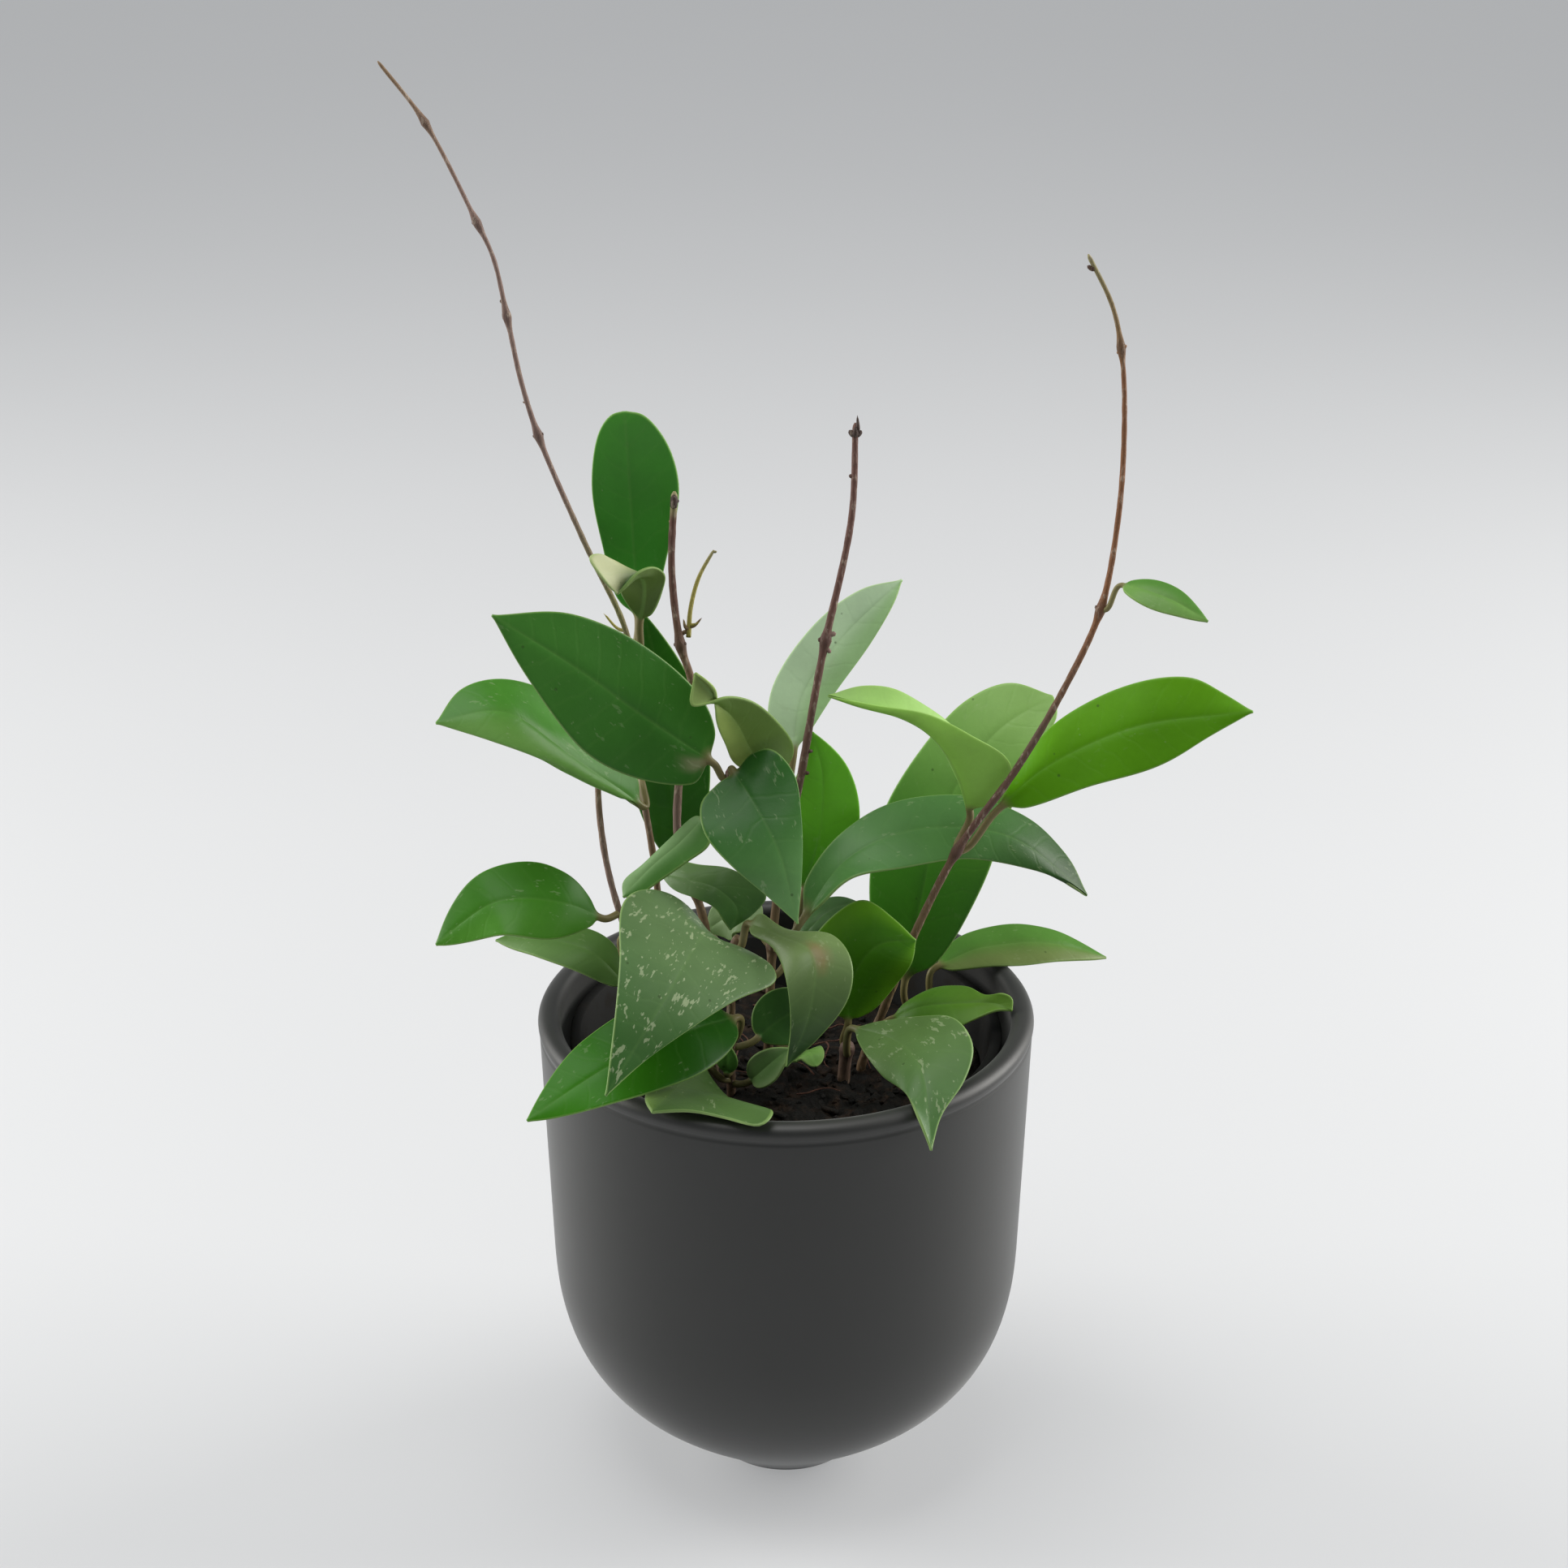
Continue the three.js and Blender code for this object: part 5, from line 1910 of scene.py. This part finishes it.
LEAVES = (
    # Painted highlight: lighter towards the upper tip.
    LeafShape("tall_left", "left_tendril", 0.45,
              ((-39, 11, 248), (-40, 17, 262), (-41, 21, 280), (-42, 22, 302)),
              Drawn(((-45, 14, 254), (-48, 17, 265), (-51, 20, 282), (-49, 22, 296), (-45.5, 22, 301)),
                    ((-35, 15, 252), (-31, 19, 265), (-28, 22, 281), (-31, 23, 293), (-37, 22, 301))),
              Tone(srgb(40, 112, 20), srgb(62, 134, 40), Patch.TIP, bloom=0.04, specks=0.05), Skin.WAXY),
    LeafShape("curled_left", "left_tendril", 0.45,
              ((-38, 0, 252), (-37, -1, 258), (-37, -5, 266), (-40, -9, 267), (-43, -13, 264)),
              Drawn(((-35, -1, 254), (-32, -2, 261), (-31, -4, 266), (-34, -7, 269), (-38, -11, 269),
                     (-41, -13, 266)),
                    ((-41, -2, 257), (-43, -7, 264), (-44, -8, 271), (-47, -10, 274), (-50, -13, 274),
                     (-46, -15, 268))),
              Tone(srgb(56, 90, 40), srgb(170, 174, 130), Patch.RIGHT, srgb(90, 114, 52), 0.08, 0.05),
              Skin.WAXY),
    # Painted sheen: the grey patch at the base of the blade.
    LeafShape("big_left", "inner_branch", 0.93,
              ((-19, -12, 217), (-35, -15, 230), (-54, -20, 247), (-74, -23, 262)),
              Drawn(((-22, -15, 213), (-35, -20, 215), (-51, -25, 225), (-65, -25, 245)),
                    ((-18, -10, 221), (-21, -8, 232), (-35, -10, 248), (-55, -16, 260))),
              Tone(srgb(38, 92, 18), srgb(54, 110, 34), Patch.TIP, bloom=0.04, specks=0.2,
                   blemish_and_sheen=(0.05, -0.5, 0.1, srgb(118, 118, 88))), Skin.DEEP),
    LeafShape("far_left_upper", "left_tendril", 0.33,
              ((-38, 0, 199), (-57, -9, 218), (-73, -14, 232), (-90, -19, 231)),
              Drawn(((-43, -3, 203), (-57, -11, 214), (-72, -20, 225)),
                    ((-40, 3, 207), (-58, 6, 227), (-73, -3, 237), (-84, -10, 237))),
              Tone(srgb(64, 126, 34), srgb(108, 156, 74), Patch.LEFT, bloom=0.06, specks=0.4), Skin.DEEP),
    LeafShape("behind_left", "cut_main", 0.38,
              ((-29, 14, 175), (-31, 16, 196), (-33, 19, 223), (-38, 22, 246)),
              Oval(22, ((0, -1, 0.2),)),
              Tone(srgb(40, 102, 20), srgb(40, 96, 18), Patch.BASE, bloom=0.01), Skin.DEEP),
    # Painted light and shade: the pale left strip is lit, the darker rest shaded.
    LeafShape("arched_centre", "middle", 0.46,
              ((0, -7, 211), (-8, -11, 219), (-13, -19, 232), (-18, -25, 240), (-23, -27, 248)),
              Drawn(((-12, -8, 214), (-16, -17, 225), (-18, -23, 234), (-18, -27, 243), (-21, -28, 247)),
                    ((2, -5, 218), (-2, -13, 229), (-9, -21, 238), (-16, -25, 241), (-21, -29, 240),
                     (-24, -30, 240))),
              Tone(srgb(92, 120, 50), srgb(152, 174, 92), Patch.LEFT, srgb(112, 134, 70), 0.06, 0.05),
              Skin.WAXY),
    LeafShape("upright_centre", "middle", 0.46,
              ((2, 6, 212), (4, 11, 226), (14, 17, 240), (31, 24, 255)),
              Drawn(((-4, 8, 217), (-4, 12, 228), (7, 18, 244), (20, 22, 253)),
                    ((6, 8, 217), (13, 12, 227), (23, 17, 240), (29, 21, 250))),
              Tone(srgb(184, 212, 172), srgb(156, 194, 136), Patch.RIGHT, bloom=0.03, specks=0.3),
              Skin.WAXY),
    # Painted highlight towards the tip, painted shade at the base.
    LeafShape("heart_centre", "inner_branch", 0.93,
              ((-14, -16, 217), (-9, -24, 212), (-2, -34, 202), (3, -40, 184)),
              Drawn(((-9, -15, 221), (-4, -16, 223), (2, -20, 218), (4, -28, 208), (4, -36, 196)),
                    ((-18, -20, 214), (-22, -25, 211), (-21, -32, 206), (-14, -37, 199), (-5, -38, 191))),
              Tone(srgb(32, 86, 20), srgb(98, 142, 84), Patch.TIP, bloom=0.03, specks=0.4), Skin.DEEP),
    LeafShape("behind_heart", "middle", 0.22,
              ((5, 7, 171), (9, 9, 187), (10, 11, 203), (7, 12, 216)),
              Oval(21, ((0, -1, 0.2),)),
              Tone(srgb(104, 186, 40), srgb(74, 148, 26), Patch.BASE, bloom=0.02)),
    # Painted reflection: the waxy part near the base is lighter; darker towards the tip.
    LeafShape("long_right", "middle", 0.27,
              ((4, -12, 171), (17, -4, 186), (36, 3, 191), (60, 7, 187), (82, 4, 171)),
              Drawn(((4, -8, 178), (13, 0, 190), (28, 10, 196), (48, 17, 195), (66, 18, 188),
                     (77, 13, 179)),
                    ((8, -13, 175), (17, -11, 183), (31, -8, 185), (48, -2, 185), (65, 2, 180),
                     (76, 4, 175))),
              Tone(srgb(76, 126, 62), srgb(20, 62, 2), Patch.TIP, bloom=0.1, specks=0.3), Skin.DEEP),
    # Painted highlight: the pale tip is the light falling on it.
    LeafShape("tall_right", "back_short", 0.9,
              ((33, 13, 139), (37, 17, 161), (44, 26, 187), (58, 33, 207), (74, 38, 216)),
              Drawn(((26, 16, 149), (23, 22, 166), (27, 29, 185), (39, 36, 203), (50, 40, 214),
                     (62, 41, 219)),
                    ((43, 12, 148), (54, 15, 168), (61, 22, 186), (69, 28, 203), (75, 34, 212))),
              Tone(srgb(62, 128, 28), srgb(132, 172, 92), Patch.TIP, bloom=0.04, specks=0.1), Skin.DEEP),
    LeafShape("folded_right", "right_tendril", 0.345,
              ((49, -3, 199), (46, -5, 210), (40, -5, 221), (31, -2, 226), (11, 3, 230)),
              Drawn(((55, -5, 202), (60, -6, 210), (58, -8, 217), (48, -9, 224), (37, -6, 228),
                     (25, -2, 229)),
                    ((51, 3, 203), (50, 5, 211), (44, 5, 221), (36, 6, 227), (28, 6, 231), (20, 5, 232))),
              Tone(srgb(160, 198, 120), srgb(146, 190, 98), Patch.TIP, srgb(142, 194, 82), 0.03, 0.05)),
    # Its bright yellow-green is partly painted light shining through the blade.
    LeafShape("bright_right", "right_tendril", 0.345,
              ((56, -6, 201), (69, -5, 213), (92, -4, 224), (122, -6, 229)),
              Drawn(((59, -2, 208), (71, 1, 223), (90, 3, 233), (106, 1, 236), (114, -2, 233)),
                    ((64, -9, 203), (80, -11, 210), (98, -11, 216), (111, -8, 223))),
              Tone(srgb(80, 140, 4), srgb(94, 158, 14), Patch.LEFT, bloom=0.01, specks=0.1)),
    LeafShape("small_tendril", "right_tendril", 0.64,
              ((86, -6, 264), (91, -10, 264), (99, -14, 262), (107, -17, 258)),
              Oval(9, ((0, -0.6, 0.8),)),
              Tone(srgb(104, 148, 70), srgb(74, 126, 44), Patch.LEFT, bloom=0.1, specks=0.2), stalk=0.7),
    LeafShape("rim_right", "back_short", 0.9,
              ((42, 22, 140), (56, 28, 143), (74, 33, 142), (92, 36, 136)),
              Oval(17, ((0, -0.3, 1),)),
              Tone(srgb(74, 124, 40), srgb(104, 122, 64), Patch.RIGHT, bloom=0.08, specks=0.2), Skin.DEEP),
    LeafShape("curled_tip_right", "right_tendril", 0.1,
              ((29, 4, 133), (38, 2, 138), (49, 0, 140), (58, -2, 141), (62, -4, 140)),
              Drawn(((33, 6, 137), (42, 8, 141), (50, 6, 142), (55, 1, 142), (59, -1, 144),
                     (62, -2, 143)),
                    ((35, -3, 133), (44, -6, 135), (52, -5, 138), (58, -4, 140))),
              Tone(srgb(76, 124, 30), srgb(98, 140, 46), Patch.TIP, srgb(120, 150, 80), 0.04, 0.1)),
    LeafShape("front_right", "right_short", 0.9,
              ((18, -14, 140), (28, -28, 144), (35, -48, 146), (37, -67, 133)),
              Drawn(((23, -17, 143), (34, -24, 149), (44, -30, 152), (49, -41, 149), (46, -51, 144),
                     (40, -59, 139)),
                    ((20, -25, 140), (25, -40, 140), (31, -55, 142.5), (34, -62, 139))),
              Tone(srgb(80, 112, 54), srgb(50, 92, 36), Patch.TIP, bloom=0.24, specks=0.7), Skin.WAXY),
    # Its bright yellow-green is partly painted light shining through it; the brighter rim is a painted edge
    # highlight.
    LeafShape("broad_front", "right_short", 0.9,
              ((17, -7, 138), (18, -7, 151), (25, -9, 163), (35, -9, 164)),
              Drawn(((8, -7, 144), (6, -5, 159), (13, -5, 170), (21, -6, 175), (29, -8, 170)),
                    ((24, -7, 142), (30, -8, 150), (34, -10, 158))),
              Tone(srgb(68, 126, 18), srgb(104, 164, 32), Patch.RIM, bloom=0.02)),
    # Painted highlight: the olive part near the base; darker towards the tip.
    LeafShape("bent_front", "front_short", 0.95,
              ((-10, -17, 173), (-2, -31, 176), (7, -42, 176), (6, -50, 164), (0, -52, 149)),
              Drawn(((-8, -16, 176), (0, -27, 176), (12, -34, 178), (17, -42, 174), (16, -47, 166),
                     (8, -50, 156)),
                    ((-9, -24, 173), (-3, -35, 174), (0, -46, 171), (1, -51, 162))),
              Tone(srgb(108, 130, 78), srgb(26, 62, 16), Patch.TIP, bloom=0.1, specks=0.3,
                   blemish_and_sheen=(0.5, -0.2, 0.09, srgb(122, 104, 66))), Skin.DEEP),
    # Painted shade: darker towards the low tip.
    LeafShape("speckled_front_left", "front_short", 0.75,
              ((-19, -20, 170), (-22, -34, 177), (-30, -58, 173), (-45, -76, 154)),
              Drawn(((-11, -27, 170), (-3, -34, 169), (-2, -39, 168), (-13, -52, 168), (-26, -64, 165),
                     (-36, -70, 160)),
                    ((-27, -14, 177), (-36, -20, 184), (-42, -35, 188), (-42, -54, 181), (-43, -66, 170))),
              Tone(srgb(84, 112, 68), srgb(26, 80, 12), Patch.TIP, bloom=0.18, specks=1.0), Skin.WAXY),
    LeafShape("low_front_left", "front_short", 0.5,
              ((-13, -21, 147), (-27, -38, 151), (-47, -53, 148.5), (-66, -65, 140.5)),
              Oval(25, ((0.3, -0.4, 0.86),), -0.01),
              Tone(srgb(26, 80, 2), srgb(52, 120, 6), Patch.TIP, bloom=0.01, specks=0.3)),
    LeafShape("low_front", "front_short", 0.3,
              ((-22, -20, 132), (-26, -34, 136), (-29, -50, 140.5), (-34, -65, 143)),
              Drawn(((-19, -24, 128), (-12, -42, 132), (-6, -57, 138.8), (-3, -65, 142.4), (-6, -71, 141.4),
                     (-15, -66, 142), (-25, -64, 143)),
                    ((-28, -26, 136), (-33, -44, 141), (-36, -58, 143))),
              Tone(srgb(64, 94, 42), srgb(104, 134, 64), Patch.RIGHT, bloom=0.12, specks=0.5), Skin.WAXY),
    LeafShape("left_upper", "far_left", 0.6,
              ((-49, -14, 173), (-60, -20, 180.5), (-76, -24, 182.5), (-92, -26, 171)),
              Oval(23, ((0, -0.6, 0.8),), ends=(0.85, 0.85)),
              Tone(srgb(52, 112, 18), srgb(66, 124, 30), Patch.LEFT, bloom=0.03, specks=0.35)),
    LeafShape("left_lower", "far_left", 0.55,
              ((-43, -7, 149), (-53, -3, 157), (-66, 3, 158), (-80, 8, 155.5)),
              Oval(15, ((0.1, -0.45, 0.9),)),
              Tone(srgb(74, 112, 46), srgb(92, 128, 66), Patch.LEFT, bloom=0.1, specks=0.2)),
    LeafShape("drooping_left", "inner_branch", 0.4,
              ((-21, -10, 201), (-28, -12, 194), (-36, -15, 188), (-43, -18, 181)),
              Drawn(((-20, -16, 196), (-26, -17, 191), (-33, -18, 186), (-39, -19, 182)),
                    ((-24, -8, 200), (-31, -10, 194), (-38, -13, 188), (-43, -15, 184))),
              Tone(srgb(116, 154, 96), srgb(56, 108, 30), Patch.LEFT, bloom=0.1, specks=0.15), Skin.WAXY),
    LeafShape("dark_inner", "cut_main", 0.43,
              ((-34, -1, 180), (-26, -7, 181), (-18, -11, 180), (-13, -13, 175), (-15, -15, 170)),
              Drawn(((-31, 1, 183), (-23, -4, 184), (-14, -7, 184), (-5, -10, 178), (-8, -12, 174)),
                    ((-30, -7, 178), (-24, -12, 178), (-19, -14, 176), (-17, -15, 173))),
              Tone(srgb(92, 124, 72), srgb(62, 106, 44), Patch.TIP, bloom=0.06, specks=0.3), Skin.DEEP),
    LeafShape("seedling_left", "front_short", 0.34,
              ((-16, -16.5, 127.5), (-16, -17.5, 131), (-16, -17.5, 134), (-16, -17, 137)),
              Oval(6, ((-0.2, -1, 0),)), Tone(srgb(92, 148, 64), srgb(70, 124, 44))),
    LeafShape("behind_long", "middle", 0.27,
              ((4, -2, 161), (9, 1, 165), (15, 5, 167), (21, 7, 167)),
              Oval(12, ((0, -0.3, 1),)), Tone(srgb(70, 108, 58), srgb(56, 92, 44)), Skin.DEEP),
    LeafShape("dark_low", "front_short", 0.45,
              ((-8, -11, 135), (-3, -8, 138.5), (4, -5, 141.5), (10, -2, 143.5)),
              Oval(16, ((0, -0.9, 0.4),)), Tone(srgb(44, 90, 28), srgb(36, 78, 22)), Skin.DEEP),
    LeafShape("pale_inner", "middle", 0.27,
              ((-8, 3, 162), (-12, 8, 163), (-17, 12, 160), (-22, 15, 155)),
              Oval(14, ((0, -0.8, 0.6),)), Tone(srgb(116, 142, 94), srgb(96, 126, 72)), Skin.WAXY),
    LeafShape("seedling_folded", "front_short", 0.28,
              ((-9.5, -17, 125.5), (-7, -19, 129), (-3, -19, 133), (1, -18, 136)),
              Oval(9, ((0, -0.8, 0.6),), 0.35), Tone(srgb(104, 142, 80), srgb(130, 160, 104), Patch.RIM),
              Skin.WAXY),
    LeafShape("round_low", "middle", 0.13,
              ((3, -11, 130), (5, -16, 133), (7, -20, 135), (8, -23, 133)),
              Oval(9, ((0, -0.4, 1),), ends=(0.7, 0.5)),
              Tone(srgb(116, 162, 78), srgb(132, 172, 92), Patch.RIM)),
)


@dataclass
class Plant:
    """The climbing plant: its stems, and the leaves that grow on them."""

    stem_lines: tuple[StemLine, ...] = STEMS
    leaf_shapes: tuple[LeafShape, ...] = LEAVES

    def build(self) -> None:
        """Builds and dresses every stem and leaf."""
        bark, young = BARK.material(), YOUNG_BARK.material()
        stems = {line.name: Stem(line) for line in self.stem_lines}
        for stem in stems.values():
            slot = "stem_young" if stem.line.young else "stem_bark"
            stem.build(young if stem.line.young else bark, slot)
        finishes = {
            Skin.BRIGHT: LeafSkin("bright_leaf", roughness=0.34, gloss=0.15, coat=0.03).material(),
            Skin.DEEP: LeafSkin("deep_leaf", roughness=0.32, gloss=0.19, coat=0.05).material(),
            Skin.WAXY: LeafSkin("waxy_leaf", roughness=0.36, gloss=0.22, coat=0.06).material(),
        }
        for shape in self.leaf_shapes:
            Leaf(shape, stems[shape.stem]).build(finishes)


@dataclass(frozen=True)
class SoftLight:
    """One large soft light.

    Attributes:
        name: Its name.
        place: Where it hangs, in metres.
        power: Its power in watts.
        colour: Its colour.
        target: Where it points.
        size: The side of its square.
    """

    name: str
    place: Triple
    power: float
    colour: Triple = (1.0, 0.98, 0.94)
    target: Triple = (0, 0, 0.12)
    size: float = 0.9

    def hang(self) -> None:
        """Adds the light to the scene."""
        turn = (Vector(self.target) - Vector(self.place)).to_track_quat("-Z", "Y").to_euler()
        bpy.ops.object.light_add(type="AREA", location=self.place, rotation=turn)
        lamp = bpy.context.object
        lamp.name = self.name
        lamp.data.size = self.size
        lamp.data.energy = self.power
        lamp.data.color = self.colour


@dataclass
class Studio:
    """A pale floor, soft light and the camera at the photograph's angle."""

    floor_size: float = 12
    floor_drop: float = 0.0002
    camera_place: Triple = (-0.00055, -0.7072, 0.5109)
    camera_tilt: float = 66.67
    camera_lens: float = 66.45
    camera_range: tuple[float, float] = (0.01, 50)
    sensor: float = 36
    sky: Colour = (0.9, 0.95, 1.0, 1)
    sky_strength: float = 0.24
    lights: tuple[SoftLight, ...] = (
        SoftLight("overhead", (-0.2, -0.15, 1.5), 11, (1.0, 0.99, 0.96), (0, 0, 0.15)),
        SoftLight("window_left", (-1.15, 0.3, 0.6), 14.5),
        SoftLight("window_right", (1.15, 0.3, 0.6), 19),
    )

    def build(self) -> None:
        """Sets up the floor, the sky, the lights and the camera."""
        deselect_all()
        bpy.ops.mesh.primitive_plane_add(size=self.floor_size, location=(0, 0, 0))
        floor = bpy.context.object
        floor.name = "pale_floor"
        for vertex in floor.data.vertices:
            vertex.co.z -= self.floor_drop
        floor.data.materials.append(PlainFloor().material())

        world = bpy.data.worlds.new("pale_room")
        world.use_nodes = True
        background = world.node_tree.nodes["Background"]
        background.inputs["Color"].default_value = self.sky
        background.inputs["Strength"].default_value = self.sky_strength
        bpy.context.scene.world = world

        bpy.context.scene.view_settings.view_transform = "Standard"
        for light in self.lights:
            light.hang()

        tilt = math.radians(self.camera_tilt)
        bpy.ops.object.camera_add(location=self.camera_place, rotation=(tilt, 0, 0))
        camera = bpy.context.object
        camera.name = "photo_camera"
        camera.data.sensor_width = self.sensor
        camera.data.lens = self.camera_lens
        camera.data.clip_start, camera.data.clip_end = self.camera_range
        bpy.context.scene.camera = camera


def main() -> None:
    """Builds the studio, the pots, the soil and the plant, in that order."""
    logging.basicConfig(level=logging.INFO, format="%(message)s")
    Studio().build()
    CoverPot().build()
    NurseryPot().build()
    SoilBed().build()
    Plant().build()


if __name__ == "__main__":
    main()
